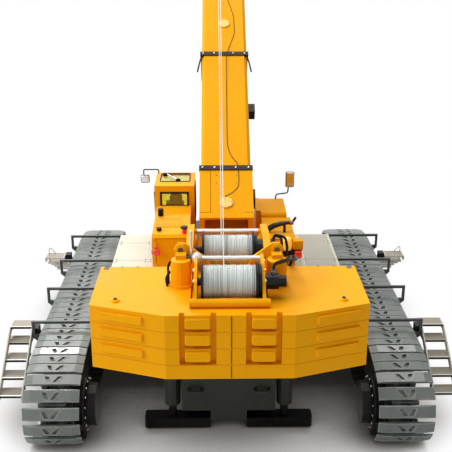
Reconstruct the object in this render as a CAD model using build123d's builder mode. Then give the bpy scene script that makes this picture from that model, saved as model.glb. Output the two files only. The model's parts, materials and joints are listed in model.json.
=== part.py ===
from build123d import *
import math
import os

os.makedirs("parts", exist_ok=True)

# All sizes in millimetres, for a display model at 1:50.
# +Y is the boom's direction, +X is right, +Z is up.
# The origin is the slewing axis at ground level.

# Crawlers
trackCentre = 72.65
shoeWidth = 23.2
shoeCount = 72
shoeGap = 0.4
shoeThick = 1.2
chainHalf = 4.6
chainRise = 1.6
chainDrop = 2.4
trackMiddleY = -5.0
wheelSpacing = 164.0
wheelHalf = wheelSpacing / 2
wheelCentreZ = 16.8
pinRadius = 14.0
topRunPinZ = 33.2
topSlope = 10.0
frameWidth = 15.0
frameBottom = 11.0
frameTop = 27.0
frameHalfLength = 68.0

# Undercarriage centre
centreHalfWidth = 20.0
centreHalfLength = 84.0
centreBottom = 11.0
centreTop = 38.0
keelHalfWidth = 7.8
keelBottom = 6.3
beamY = 38.0
beamWidth = 22.0
beamTop = 34.0
slewRadius = 21.0
slewTop = 42.7
deckTop = 41.2
deckThick = 1.2
deckInner = 22.5
deckOuter = 59.5
deckHalfLength = 51.0

# Superstructure
frameFloor = 43.0
frameDeck = 49.0
cheekInner = 14.6
cheekOuter = 17.6
ballastFront = -67.0
ballastRear = -114.0
ballastShoulder = -104.0
ballastHalf = 53.9
ballastFlatHalf = 24.6
ballastSlot = 15.2
ballastSlotRear = -103.4
ballastTop = 71.2

# Winches: name, drum centre y, drum centre z
winchTable = [("rear", -98.0, 78.0), ("front", -65.0, 78.0)]
drumRadius = 6.5
drumHalf = 10.2
flangeRadius = 8.0
flangeThick = 0.8
winchPlateInner = 12.5
winchPlateOuter = 13.7

# Boom
elevation = 35.0
footY = -16.0
footZ = 55.5
boomTop = 22.0
boomBottom = -4.0
boomWidth = 24.6
boomDepth = boomTop - boomBottom
boomMiddle = (boomTop + boomBottom) / 2
boomLength = 366.0
wall = 1.05
sectionStep = 3.0
sectionCount = 4
collarPitch = 6.0
collarLength = 4.5
collarRise = 0.7
nestStart = 64.0

# Luffing cylinder
cylinderFootY = 4.0
cylinderFootZ = 47.0
barrelRadius = 3.9
rodRadius = 2.5
rodPinU = 164.0
rodPinW = -14.0

cosE = math.cos(math.radians(elevation))
sinE = math.sin(math.radians(elevation))


def boomPoint(u, w, x=0.0):
    """Point of the boom's own frame: u along it, w above its axis."""
    return (x, footY + u * cosE - w * sinE, footZ + u * sinE + w * cosE)


boomSide = Plane(origin=boomPoint(0, 0), x_dir=(0, cosE, sinE), z_dir=(1, 0, 0))


def boomAcross(u, w=0.0):
    """Section plane across the boom at u, its local y along w."""
    return Plane(origin=boomPoint(u, w), x_dir=(-1, 0, 0), z_dir=(0, cosE, sinE))


def sideAt(x):
    """Plane at x, seen along X, with local x along Y and local y along Z."""
    return Plane(origin=(x, 0, 0), x_dir=(0, 1, 0), z_dir=(1, 0, 0))


def save(part, name):
    part.label = name
    export_step(part, "parts/" + name + ".step")


# Track loop: pin line of the chain as straight runs and arcs, about the loop's own middle
slopeRad = math.radians(topSlope)
slopeRun = (topRunPinZ - wheelCentreZ - pinRadius * math.cos(slopeRad)) / math.sin(slopeRad)
kneeY = wheelHalf + pinRadius * math.sin(slopeRad) - slopeRun * math.cos(slopeRad)
arcTurn = math.pi - slopeRad
runLengths = [wheelHalf, pinRadius * arcTurn, slopeRun, kneeY]
halfLoop = sum(runLengths)
shoePitch = 2 * halfLoop / shoeCount


def halfLoopPoint(s):
    """Pin line point and outward angle in radians at distance s from the bottom middle."""
    if s < runLengths[0]:
        return s, wheelCentreZ - pinRadius, -math.pi / 2
    s -= runLengths[0]
    if s < runLengths[1]:
        turn = -math.pi / 2 + s / pinRadius
        return wheelHalf + pinRadius * math.cos(turn), wheelCentreZ + pinRadius * math.sin(turn), turn
    s -= runLengths[1]
    if s < runLengths[2]:
        y = wheelHalf + pinRadius * math.sin(slopeRad) - s * math.cos(slopeRad)
        z = wheelCentreZ + pinRadius * math.cos(slopeRad) + s * math.sin(slopeRad)
        return y, z, math.pi / 2 - slopeRad
    return kneeY - (s - runLengths[2]), topRunPinZ, math.pi / 2


def loopPoint(s, shift):
    """Point of the loop at distance s, moved outwards from the pin line by shift."""
    s = s % (2 * halfLoop)
    y, z, turn = halfLoopPoint(min(s, 2 * halfLoop - s))
    y += shift * math.cos(turn)
    z += shift * math.sin(turn)
    return (trackMiddleY + (y if s <= halfLoop else -y), z)


def shoeCorners(number):
    """Four corners of one shoe, standing on its link of the chain."""
    start = loopPoint(number * shoePitch, chainRise)
    end = loopPoint((number + 1) * shoePitch, chainRise)
    link = math.dist(start, end)
    along = ((end[0] - start[0]) / link, (end[1] - start[1]) / link)
    out = (along[1], -along[0])
    shoeLength = shoePitch - shoeGap
    runs = ((link - shoeLength) / 2, (link + shoeLength) / 2)
    corners = []
    for run, rise in ((runs[0], 0), (runs[1], 0), (runs[1], shoeThick), (runs[0], shoeThick)):
        corners.append((start[0] + along[0] * run + out[0] * rise, start[1] + along[1] * run + out[1] * rise))
    return corners


with BuildPart() as trackLeft:
    with BuildSketch(sideAt(-trackCentre)):
        for shift, mode in ((chainRise, Mode.ADD), (-chainDrop, Mode.SUBTRACT)):
            with BuildLine():
                Polyline([loopPoint(i * shoePitch, shift) for i in range(shoeCount)], close=True)
            make_face(mode=mode)
    extrude(amount=chainHalf, both=True)
    with BuildSketch(sideAt(-trackCentre)):
        for i in range(shoeCount):
            with BuildLine():
                Polyline(shoeCorners(i), close=True)
            make_face()
    extrude(amount=shoeWidth / 2, both=True)
trackRight = mirror(trackLeft.part, about=Plane.YZ)
save(trackLeft.part, "track_l")
save(trackRight, "track_r")

# Crawler frames
frameToe = 13.0
frameShoulder = 22.0
toeRun = 6.0
shoulderRun = 10.0
frameRear = trackMiddleY - frameHalfLength
frameFront = trackMiddleY + frameHalfLength
with BuildPart() as crawlerFrameLeft:
    with BuildSketch(sideAt(-trackCentre)):
        with BuildLine():
            Polyline((frameRear, frameToe), (frameRear + toeRun, frameBottom),
                     (frameFront - toeRun, frameBottom), (frameFront, frameToe), (frameFront, frameShoulder),
                     (frameFront - shoulderRun, frameTop), (frameRear + shoulderRun, frameTop),
                     (frameRear, frameShoulder), close=True)
        make_face()
    extrude(amount=frameWidth / 2, both=True)
crawlerFrameRight = mirror(crawlerFrameLeft.part, about=Plane.YZ)
save(crawlerFrameLeft.part, "crawler_frame_l")
save(crawlerFrameRight, "crawler_frame_r")

# End sprockets with square-cut teeth, on hubs as wide as the frame
sprocketTeeth = 11
sprocketRadius = pinRadius - chainDrop - 0.3
toothDepth = 1.3
toothShares = [(0.0, 0.0), (0.35, 0.0), (0.5, 1.0), (0.85, 1.0)]
wheelCentres = [trackMiddleY - wheelHalf, trackMiddleY + wheelHalf]
with BuildPart() as sprocketsLeft:
    for y in wheelCentres:
        rim = []
        for tooth in range(sprocketTeeth):
            for share, cut in toothShares:
                turn = 2 * math.pi * (tooth + share) / sprocketTeeth
                radius = sprocketRadius - cut * toothDepth
                rim.append((y + radius * math.cos(turn), wheelCentreZ + radius * math.sin(turn)))
        with BuildSketch(sideAt(-trackCentre)):
            with BuildLine():
                Polyline(rim, close=True)
            make_face()
        extrude(amount=3.6, both=True)
        with BuildSketch(sideAt(-trackCentre)):
            with Locations((y, wheelCentreZ)):
                RegularPolygon(4.5, 12)
        extrude(amount=7.5, both=True)
sprocketsRight = mirror(sprocketsLeft.part, about=Plane.YZ)
save(sprocketsLeft.part, "sprockets_l")
save(sprocketsRight, "sprockets_r")

# Track rollers under the frame and carrier rollers above it
rollerRadius = 2.6
rollerSides = 8
rollerPlaces = [trackMiddleY - 60.5 + 11 * i for i in range(12)]
rollerZ = wheelCentreZ - pinRadius + chainDrop + rollerRadius + 0.05
carrierRadius = 1.7
carrierPlaces = [trackMiddleY + y for y in (-48, 0, 48)]
carrierZ = topRunPinZ - chainDrop - carrierRadius - 0.05
with BuildPart() as rollersLeft:
    with BuildSketch(sideAt(-trackCentre)):
        with Locations(*[(y, rollerZ) for y in rollerPlaces]):
            RegularPolygon(rollerRadius, rollerSides)
        with Locations(*[(y, carrierZ) for y in carrierPlaces]):
            RegularPolygon(carrierRadius, rollerSides)
    extrude(amount=4.2, both=True)
rollersRight = mirror(rollersLeft.part, about=Plane.YZ)
save(rollersLeft.part, "track_rollers_l")
save(rollersRight, "track_rollers_r")

# Final drives on the inner side of each end wheel: radius, from |x|, to |x|
driveTable = [(9.0, 55.6, 60.4), (6.0, 60.4, trackCentre - 7.6)]
with BuildPart() as finalDrives:
    for side in (-1, 1):
        for y in wheelCentres:
            for radius, x0, x1 in driveTable:
                with BuildSketch(sideAt(side * x0)):
                    with Locations((y, wheelCentreZ)):
                        RegularPolygon(radius, 12)
                extrude(amount=side * (x1 - x0))
save(finalDrives.part, "final_drives")

# Undercarriage centre
centreEdge = 2.0
centreHalf = [(0, keelBottom), (keelHalfWidth, keelBottom), (keelHalfWidth, centreBottom),
              (centreHalfWidth, centreBottom), (centreHalfWidth, centreTop - centreEdge),
              (centreHalfWidth - centreEdge, centreTop), (0, centreTop)]
with BuildPart() as centreSection:
    with BuildSketch(Plane.XZ.offset(-centreHalfLength)):
        with BuildLine():
            Polyline(centreHalf, close=True)
        make_face()
        mirror(about=Plane.YZ)
    extrude(amount=2 * centreHalfLength)
save(centreSection.part, "centre_section")

beamBottom = 13.0
beamEnd = (58.0, 26.0)
with BuildPart() as crossBeams:
    for side in (-1, 1):
        for y in (-beamY, beamY):
            with BuildSketch(Plane(origin=(0, y, 0), x_dir=(1, 0, 0), z_dir=(0, -1, 0))):
                inner = side * centreHalfWidth
                outer = side * (trackCentre - frameWidth / 2)
                with BuildLine():
                    Polyline((inner, beamBottom), (outer, beamBottom), (outer, beamEnd[1]),
                             (side * beamEnd[0], beamTop), (inner, beamTop), close=True)
                make_face()
            extrude(amount=beamWidth / 2, both=True)
save(crossBeams.part, "cross_beams")

slewSides = 24
slewStep = 1.5
slewRimLow = 1.2
slewRimHeight = 2.0
swivelBore = 2.5
with BuildPart() as slewRing:
    with BuildSketch(Plane.XY.offset(centreTop)):
        RegularPolygon(slewRadius - slewStep, slewSides)
    extrude(amount=slewTop - centreTop)
    with BuildSketch(Plane.XY.offset(centreTop + slewRimLow)):
        RegularPolygon(slewRadius, slewSides)
    extrude(amount=slewRimHeight)
    with BuildSketch(Plane.XY.offset(centreTop)):
        Circle(swivelBore)
    extrude(amount=slewTop - centreTop, mode=Mode.SUBTRACT)
save(slewRing.part, "slew_ring")

# Walkway decks on posts that stand on the cross beams
with BuildPart() as deckLeft:
    with BuildSketch(Plane.XY.offset(deckTop - deckThick)):
        with Locations((-(deckInner + deckOuter) / 2, 0)):
            Rectangle(deckOuter - deckInner, 2 * deckHalfLength)
    extrude(amount=deckThick)
    with BuildSketch(Plane.XY.offset(beamTop)):
        with Locations(*[(-x, y) for x in (26, 54) for y in (-beamY, beamY)]):
            Rectangle(3, 14)
    extrude(amount=deckTop - deckThick - beamTop)
deckRight = mirror(deckLeft.part, about=Plane.YZ)
save(deckLeft.part, "deck_l")
save(deckRight, "deck_r")

# Bracket frames over the tracks
bracketRows = [-55.0, -18.6, 17.4, 54.0]
bracketTop = 39.3
bracketFoot = 32.6
bracketRootZ = 24.5
barSize = 1.2
innerLegX = 60.3
outerLegX = 88.0
frameInnerX = trackCentre - frameWidth / 2
frameOuterX = trackCentre + frameWidth / 2
with BuildPart() as bracketsLeft:
    for y in bracketRows:
        with BuildSketch(Plane(origin=(0, y, 0), x_dir=(-1, 0, 0), z_dir=(0, 1, 0))):
            with Locations(((innerLegX + outerLegX) / 2, bracketTop)):
                Rectangle(outerLegX - innerLegX + barSize, barSize)
            for legX in (innerLegX, outerLegX):
                with Locations((legX, (bracketTop + bracketFoot) / 2)):
                    Rectangle(barSize, bracketTop - bracketFoot)
            for legX, faceX, way in ((innerLegX, frameInnerX, -1), (outerLegX, frameOuterX, 1)):
                with BuildLine():
                    Polyline((faceX, bracketRootZ), (faceX, bracketFoot + barSize / 2),
                             (legX + way * barSize / 2, bracketFoot + barSize / 2),
                             (legX + way * barSize / 2, bracketFoot - barSize / 2), close=True)
                make_face()
        extrude(amount=barSize / 2, both=True)
bracketsRight = mirror(bracketsLeft.part, about=Plane.YZ)
save(bracketsLeft.part, "track_brackets_l")
save(bracketsRight, "track_brackets_r")

# Access stairs at both ends of each side: outer edge and height of the landing and its four treads,
# the edge as a distance from the flights' common middle
stairMiddleY = -7.0
treadTable = [(45.4, 35.5), (51.0, 30.4), (59.2, 26.1), (67.1, 21.7), (74.2, 17.0)]
treadDepth = 7.3
treadThick = 0.9
stairInner = 89.0
stairOuter = 99.5
stringerDrop = 2.6
stringerThick = 0.5
with BuildPart() as stairsLeft:
    for end in (-1, 1):
        with BuildSketch(sideAt(-(stairInner + stairOuter) / 2)):
            for y, z in treadTable:
                with Locations((stairMiddleY + end * (y - treadDepth / 2), z - treadThick / 2)):
                    Rectangle(treadDepth, treadThick)
        extrude(amount=(stairOuter - stairInner) / 2, both=True)
        topY, topZ = treadTable[0]
        lowY, lowZ = treadTable[-1]
        for x in (stairInner + stringerThick / 2, stairOuter - stringerThick / 2):
            with BuildSketch(sideAt(-x)):
                rail = [(topY - treadDepth, topZ), (topY, topZ), (lowY, lowZ), (lowY, lowZ - stringerDrop),
                        (lowY - 2.5, lowZ - stringerDrop), (topY - 1.5, topZ - stringerDrop),
                        (topY - treadDepth, topZ - stringerDrop)]
                with BuildLine():
                    Polyline([(stairMiddleY + end * y, z) for y, z in rail], close=True)
                make_face()
            extrude(amount=stringerThick / 2, both=True)
stairsRight = mirror(stairsLeft.part, about=Plane.YZ)
save(stairsLeft.part, "stairs_l")
save(stairsRight, "stairs_r")

# Blocks that carry each flight of stairs, on arms that stand out from the crawler frame under the shoes
stairBlockY = [-51.8, 37.0]
stairBlockZ = 33.6
stairBlockSize = (4.5, 4.0)
stairBlockInner = 86.0
armRoot = (21.0, 26.0)
armHalf = 1.0
with BuildPart() as stairBlocks:
    for side in (-1, 1):
        for y in stairBlockY:
            with BuildSketch(sideAt(side * (stairBlockInner + stairInner) / 2)):
                with Locations((y, stairBlockZ)):
                    Rectangle(*stairBlockSize)
            extrude(amount=(stairInner - stairBlockInner) / 2, both=True)
            with BuildSketch(Plane(origin=(0, y, 0), x_dir=(1, 0, 0), z_dir=(0, -1, 0))):
                low = stairBlockZ - stairBlockSize[1] / 2
                with BuildLine():
                    Polyline((side * frameOuterX, armRoot[0]), (side * frameOuterX, armRoot[1]),
                             (side * stairBlockInner, stairBlockZ), (side * (stairBlockInner + 1), stairBlockZ),
                             (side * (stairBlockInner + 1), low), close=True)
                make_face()
            extrude(amount=armHalf, both=True)
save(stairBlocks.part, "stair_blocks")

# Jacks at the corners of the centre section, each with a long foot
jackX = 24.4
jackY = 78.5
jackRadius = 3.5
footCentreX = 22.1
footLength = 28.8
footHalfY = 3.5
footLow = 1.2
footHigh = 5.8
jackBottom = 12.0
jackRodRadius = 1.8
jackSides = 12
rodSides = 8
with BuildPart() as jackCylinders:
    with BuildSketch(Plane.XY.offset(jackBottom)):
        with Locations(*[(sx * jackX, sy * jackY) for sx in (-1, 1) for sy in (-1, 1)]):
            RegularPolygon(jackRadius, jackSides)
            RegularPolygon(jackRodRadius + 0.25, rodSides, mode=Mode.SUBTRACT)
    extrude(amount=24.0)
    for sx in (-1, 1):
        for sy in (-1, 1):
            with BuildSketch(Plane.XY.offset(34.0)):
                with Locations((sx * jackX, sy * jackY)):
                    RegularPolygon(jackRadius, jackSides)
                with Locations((sx * 21.5, sy * jackY)):
                    Rectangle(3.0, 6.0)
            extrude(amount=2.0)
save(jackCylinders.part, "jack_cylinders")

jackCorners = [("fl", -1, 1), ("fr", 1, 1), ("rl", -1, -1), ("rr", 1, -1)]
for corner, sx, sy in jackCorners:
    with BuildPart() as jackFoot:
        with BuildSketch(Plane.XY.offset(footLow)):
            with Locations((sx * footCentreX, sy * jackY)):
                Rectangle(footLength, 2 * footHalfY)
                chamfer(vertices(), 0.8)
        extrude(amount=footHigh - footLow)
        with BuildSketch(Plane.XY.offset(footHigh)):
            with Locations((sx * jackX, sy * jackY)):
                RegularPolygon(jackRodRadius, rodSides)
        extrude(amount=22.0)
    save(jackFoot.part, "jack_foot_" + corner)

# Turntable frame: floor, boom-foot cheeks and the winch pedestal behind
pedestalHalf = 14.8
pedestalTop = 69.8
floorHalf = 18.0
floorNose = 24.0
cheekOutline = [(-66, frameDeck), (-66, 71.8), (-74, 71.8), (-74, 82), (-60, 84), (-44, 82), (-26, 66),
                (-8, 63), (4, 54), (8, frameDeck)]
cheekHole = (-52, 60)
cheekHoleRadius = 4.2

# Pins and bars between the cheeks: y, z, radius, half length
crossPinSides = 12
crossPins = [(footY, footZ, 2.4, cheekInner), (cylinderFootY, cylinderFootZ, 1.5, 5.2),
             (-50.0, 80.9, 1.0, cheekInner), (-39.5, 66.4, 1.0, cheekInner)]
with BuildPart() as turntableFrame:
    with BuildSketch(Plane.XY.offset(frameFloor)):
        with BuildLine():
            Polyline((-pedestalHalf, -103), (pedestalHalf, -103), (pedestalHalf, -65), (floorHalf, -65),
                     (floorHalf, 17.6), (15.4, 17.6), (15.4, floorNose), (-15.4, floorNose), (-15.4, 17.6),
                     (-floorHalf, 17.6), (-floorHalf, -65), (-pedestalHalf, -65), close=True)
        make_face()
        with Locations((0, 11)):
            Rectangle(10.4, 30, mode=Mode.SUBTRACT)
    extrude(amount=frameDeck - frameFloor)
    with BuildSketch(Plane.XY.offset(frameDeck)):
        with Locations((0, -86.5)):
            Rectangle(2 * pedestalHalf, 33)
    extrude(amount=pedestalTop - frameDeck)
    for x in (-(cheekInner + cheekOuter) / 2, (cheekInner + cheekOuter) / 2):
        with BuildSketch(sideAt(x)):
            with BuildLine():
                Polyline(cheekOutline, close=True)
            make_face()
            with Locations(cheekHole):
                RegularPolygon(cheekHoleRadius, 12, mode=Mode.SUBTRACT)
        extrude(amount=(cheekOuter - cheekInner) / 2, both=True)
    for y, z, radius, half in crossPins:
        with BuildSketch(sideAt(0)):
            with Locations((y, z)):
                RegularPolygon(radius, crossPinSides)
        extrude(amount=half, both=True)
save(turntableFrame.part, "turntable_frame")

# Counterweight slabs: name, bottom, top, whether it has the rib and the handles
slabTable = [("base", 44.4, 50.4, False), ("slab_1", 50.4, 57.3, True), ("slab_2", 57.3, 64.3, True),
             ("slab_3", 64.3, 71.2, True)]
pocketTable = [(-19.2, -5.2), (6.0, 19.6)]
pocketDepth = 2.6
handleHeight = 4.3
handleInset = 2.1
handleSink = 0.3
ribNear = 32.5
ribFar = 50.5
ribProud = 0.9
ribSink = 0.3
ribSlant = 0.8
ribHeight = 3.0
notchNear = 50.3
notchFar = 52.5
notchDepth = 3.0
shoulderLength = math.hypot(ballastHalf - ballastFlatHalf, ballastShoulder - ballastRear)
shoulderAlong = ((ballastHalf - ballastFlatHalf) / shoulderLength,
                 (ballastShoulder - ballastRear) / shoulderLength)


def shoulderPoint(x, proud):
    """Point on the slanted rear face at x, moved out of it by proud."""
    y = ballastRear + (x - ballastFlatHalf) * shoulderAlong[1] / shoulderAlong[0]
    return (x + proud * shoulderAlong[1], y - proud * shoulderAlong[0])


for name, z0, z1, dressed in slabTable:
    with BuildPart() as slab:
        with BuildSketch(Plane.XY.offset(z0)):
            half = [(0, ballastRear), (ballastFlatHalf, ballastRear), (ballastHalf, ballastShoulder),
                    (ballastHalf, ballastFront), (notchFar, ballastFront), (notchFar, ballastFront - notchDepth),
                    (notchNear, ballastFront - notchDepth), (notchNear, ballastFront), (ballastSlot, ballastFront),
                    (ballastSlot, ballastSlotRear), (0, ballastSlotRear)]
            with BuildLine():
                Polyline(half, close=True)
            make_face()
            mirror(about=Plane.YZ)
            if z0 > slabTable[0][1]:
                for x0, x1 in pocketTable:
                    with Locations(((x0 + x1) / 2, ballastRear + pocketDepth / 2)):
                        Rectangle(x1 - x0, pocketDepth, mode=Mode.SUBTRACT)
        extrude(amount=z1 - z0)
        if dressed:
            for x0, x1 in pocketTable:
                with BuildSketch(Plane.XY.offset(z1 - handleHeight)):
                    with Locations(((x0 + x1) / 2, ballastRear + (pocketDepth + handleSink) / 2)):
                        Rectangle(x1 - x0 - 2 * handleInset, pocketDepth - handleSink)
                extrude(amount=handleHeight)
            for side in (-1, 1):
                ribRing = (shoulderPoint(ribNear, -ribSink), shoulderPoint(ribFar, -ribSink),
                           shoulderPoint(ribFar - ribSlant, ribProud), shoulderPoint(ribNear + ribSlant, ribProud))
                with BuildSketch(Plane.XY.offset((z0 + z1 - ribHeight) / 2)):
                    with BuildLine():
                        Polyline([(side * x, y) for x, y in ribRing], close=True)
                    make_face()
                extrude(amount=ribHeight)
    save(slab.part, "counterweight_" + name)

# Housings beside the boom foot
housingBase = 46.0
louvreRows = [-9.6, -2.6]
louvreCount = 7
louvrePitch = 1.9
louvreFirstX = -34.4
with BuildPart() as leftHousing:
    with BuildSketch(sideAt(-35.8)):
        with BuildLine():
            Polyline((-23, housingBase), (-23, 67.4), (-21.6, 68.8), (14, 70), (18, 70), (18, housingBase),
                     close=True)
        make_face()
    extrude(amount=17.8)
    with BuildSketch(Plane.XY.offset(71)):
        for y in louvreRows:
            with Locations(*[(louvreFirstX + louvrePitch * i, y) for i in range(louvreCount)]):
                Rectangle(0.9, 5.4)
    extrude(amount=-2.6, mode=Mode.SUBTRACT)
save(leftHousing.part, "left_housing")

with BuildPart() as rightHousing:
    with BuildSketch(sideAt(floorHalf)):
        with BuildLine():
            Polyline((4.7, housingBase), (4.7, 69), (5.7, 70), (29, 70), (30, 69), (30, housingBase), close=True)
        make_face()
    extrude(amount=13.0)
    with BuildSketch(sideAt(15.6)):
        with Locations((19.6, 60)):
            Rectangle(20.8, 20)
    extrude(amount=floorHalf - 15.6)
    with BuildSketch(sideAt(floorHalf)):
        with BuildLine():
            Polyline((-22, housingBase), (-22, 66.4), (-20.5, 67.9), (4.7, 67.9), (4.7, housingBase), close=True)
        make_face()
    extrude(amount=14.7)
    with BuildSketch(sideAt(32.7)):
        for y in (-18.4, -14.0, -9.6, -5.2):
            with Locations((y, 57)):
                Rectangle(2.4, 13)
    extrude(amount=-0.8, mode=Mode.SUBTRACT)
save(rightHousing.part, "right_housing")

# Cab: hollow shell with its window openings
cabLeft = -37.0
cabRight = -16.3
cabBack = 18.0
cabBase = 46.0
cabRoof = 80.7
cabWidth = cabRight - cabLeft
cabMiddle = (cabLeft + cabRight) / 2
cabWall = 1.0
glassThick = 0.4
roofFront = 43.0
waistY, waistZ = 50.5, 62.0
toeY = 48.5
rearWindow = (14.2, 7.3, 73.35)
roofWindow = (15.6, 15.0, 33.0)
frontWindow = (cabWidth - 3.6, 50.0, 78.4)
sideWindow = [(23, 56), (23, 77), (41, 77), (47, 63.5), (46, 56)]


def cabOutline(inset):
    Polyline((cabBack + inset, cabBase + inset), (cabBack + inset, cabRoof - inset),
             (roofFront - inset, cabRoof - inset), (waistY - inset, waistZ), (toeY - inset, cabBase + inset),
             close=True)


# The window openings as prisms through the cab's walls
windowReach = 14.0
with BuildPart() as windowPrisms:
    width, height, z = rearWindow
    with BuildSketch(Plane(origin=(cabMiddle, cabBack + 2, z), x_dir=(1, 0, 0), z_dir=(0, -1, 0))):
        Rectangle(width, height)
    extrude(amount=windowReach)
    width, depth, y = roofWindow
    with BuildSketch(Plane.XY.offset(cabRoof - 2)):
        with Locations((cabMiddle, y)):
            Rectangle(width, depth)
    extrude(amount=windowReach)
    with BuildSketch(sideAt(cabMiddle)):
        with BuildLine():
            Polyline(sideWindow, close=True)
        make_face()
    extrude(amount=cabWidth, both=True)
    width, low, high = frontWindow
    with BuildSketch(Plane(origin=(cabMiddle, 42, (low + high) / 2), x_dir=(1, 0, 0), z_dir=(0, 1, 0))):
        Rectangle(width, high - low)
    extrude(amount=windowReach)

with BuildPart() as cabShell:
    with BuildSketch(sideAt(cabMiddle)):
        with BuildLine():
            cabOutline(0)
        make_face()
    extrude(amount=cabWidth / 2, both=True)
    with BuildSketch(sideAt(cabMiddle)):
        with BuildLine():
            cabOutline(cabWall)
        make_face()
    extrude(amount=cabWidth / 2 - cabWall, both=True, mode=Mode.SUBTRACT)
    add(windowPrisms.part, mode=Mode.SUBTRACT)
save(cabShell.part, "cab_shell")

glassInset = 0.2
with BuildPart() as cabGlass:
    with BuildSketch(sideAt(cabMiddle)):
        with BuildLine():
            cabOutline(glassInset)
        make_face()
    extrude(amount=cabWidth / 2 - glassInset, both=True)
    with BuildSketch(sideAt(cabMiddle)):
        with BuildLine():
            cabOutline(glassInset + glassThick)
        make_face()
    extrude(amount=cabWidth / 2 - glassInset - glassThick, both=True, mode=Mode.SUBTRACT)
    add(windowPrisms.part, mode=Mode.INTERSECT)
save(cabGlass.part, "cab_glass")

seatOutline = [(25, 47), (25, 56), (21, 70), (24, 71), (28, 59), (36, 59), (36, 55.5), (31, 54.5), (31, 47)]
seatHalf = 4.6
with BuildPart() as seat:
    with BuildSketch(sideAt(cabMiddle)):
        with BuildLine():
            Polyline(seatOutline, close=True)
        make_face()
    extrude(amount=seatHalf, both=True)
save(seat.part, "operator_seat")

# Mirrors on their stalks: x, z, width, height, y
mirrorTable = [(34.4, 80.8, 4.6, 8.4, 29.0), (-43.8, 77.0, 4.8, 4.4, 44.0)]
mirrorThick = 0.8
stalkThick = 0.8
stalkRight = [(26.6, 70), (27.2, 73.0), (33.2, 73.8), (33.4, 76.9), (34.1, 76.9), (34.0, 73.0), (28.0, 72.2),
              (27.4, 70)]
stalkLeft = [(-36.6, 80.7), (-36.6, 82.2), (-44.0, 82.2), (-44.0, 79.0), (-44.8, 79.0), (-44.8, 83.0),
             (-35.8, 83.0), (-35.8, 80.7)]
with BuildPart() as mirrors:
    for x, z, width, height, y in mirrorTable:
        with BuildSketch(Plane(origin=(x, y, z), x_dir=(1, 0, 0), z_dir=(0, -1, 0))):
            Rectangle(width, height)
        extrude(amount=mirrorThick)
    for stalk, y in ((stalkRight, 28.8), (stalkLeft, 42.8)):
        with BuildSketch(Plane(origin=(0, y, 0), x_dir=(1, 0, 0), z_dir=(0, -1, 0))):
            with BuildLine():
                Polyline(stalk, close=True)
            make_face()
        extrude(amount=stalkThick)
save(mirrors.part, "mirrors")

# Winch frame: plates, rear beam and the guide bar between them
guideY = -84.0
guideZ = 82.0
guideRadius = 0.95
guideHalf = 14.0
beamCentre = (-106.8, 72.95)
beamRadius = 1.7
beamHalf = 15.4
barSides = 12
winchPlateOutline = [(-107, ballastTop), (-107, 74.4), (-103, 80), (-94, 84), (-84, 84), (-82.4, 82),
                     (-84, pedestalTop), (-103, pedestalTop), (-103, ballastTop)]
axleBore = 1.8
with BuildPart() as winchFrame:
    for x in (-(winchPlateInner + winchPlateOuter) / 2, (winchPlateInner + winchPlateOuter) / 2):
        with BuildSketch(sideAt(x)):
            with BuildLine():
                Polyline(winchPlateOutline, close=True)
            make_face()
            with Locations(winchTable[0][1:]):
                RegularPolygon(axleBore, barSides, mode=Mode.SUBTRACT)
        extrude(amount=(winchPlateOuter - winchPlateInner) / 2, both=True)
    for centre, radius, half in ((beamCentre, beamRadius, beamHalf),
                                 ((guideY, guideZ), guideRadius, guideHalf)):
        with BuildSketch(sideAt(0)):
            with Locations(centre):
                RegularPolygon(radius, barSides)
        extrude(amount=half, both=True)
save(winchFrame.part, "winch_frame")

flangeSides = 20
drumSides = 20
axleRadius = 1.6
axleEnd = 14.3
for winch, drumY, drumZ in winchTable:
    with BuildPart() as drum:
        with BuildSketch(sideAt(0)):
            with Locations((drumY, drumZ)):
                RegularPolygon(drumRadius, drumSides)
        extrude(amount=drumHalf, both=True)
        for x in (-drumHalf - flangeThick / 2, drumHalf + flangeThick / 2):
            with BuildSketch(sideAt(x)):
                with Locations((drumY, drumZ)):
                    RegularPolygon(flangeRadius, flangeSides)
            extrude(amount=flangeThick / 2, both=True)
        with BuildSketch(sideAt(-axleEnd)):
            with Locations((drumY, drumZ)):
                Circle(axleRadius)
        extrude(amount=axleEnd - drumHalf)
    save(drum.part, "winch_drum_" + winch)

# Winch motors at the drums' right ends: radius, from x, to x
motorTable = {"rear": [(5.2, 11.2, winchPlateInner), (3.2, winchPlateOuter, 19.0), (2.3, 19.0, 22.0)],
              "front": [(4.6, 11.2, cheekInner), (3.0, cheekOuter, 20.6)]}
motorSides = 14
with BuildPart() as winchMotors:
    for winch, drumY, drumZ in winchTable:
        for radius, x0, x1 in motorTable[winch]:
            with BuildSketch(sideAt(x0)):
                with Locations((drumY, drumZ)):
                    RegularPolygon(radius, motorSides)
            extrude(amount=x1 - x0)
save(winchMotors.part, "winch_motors")

hubSides = 10
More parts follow.
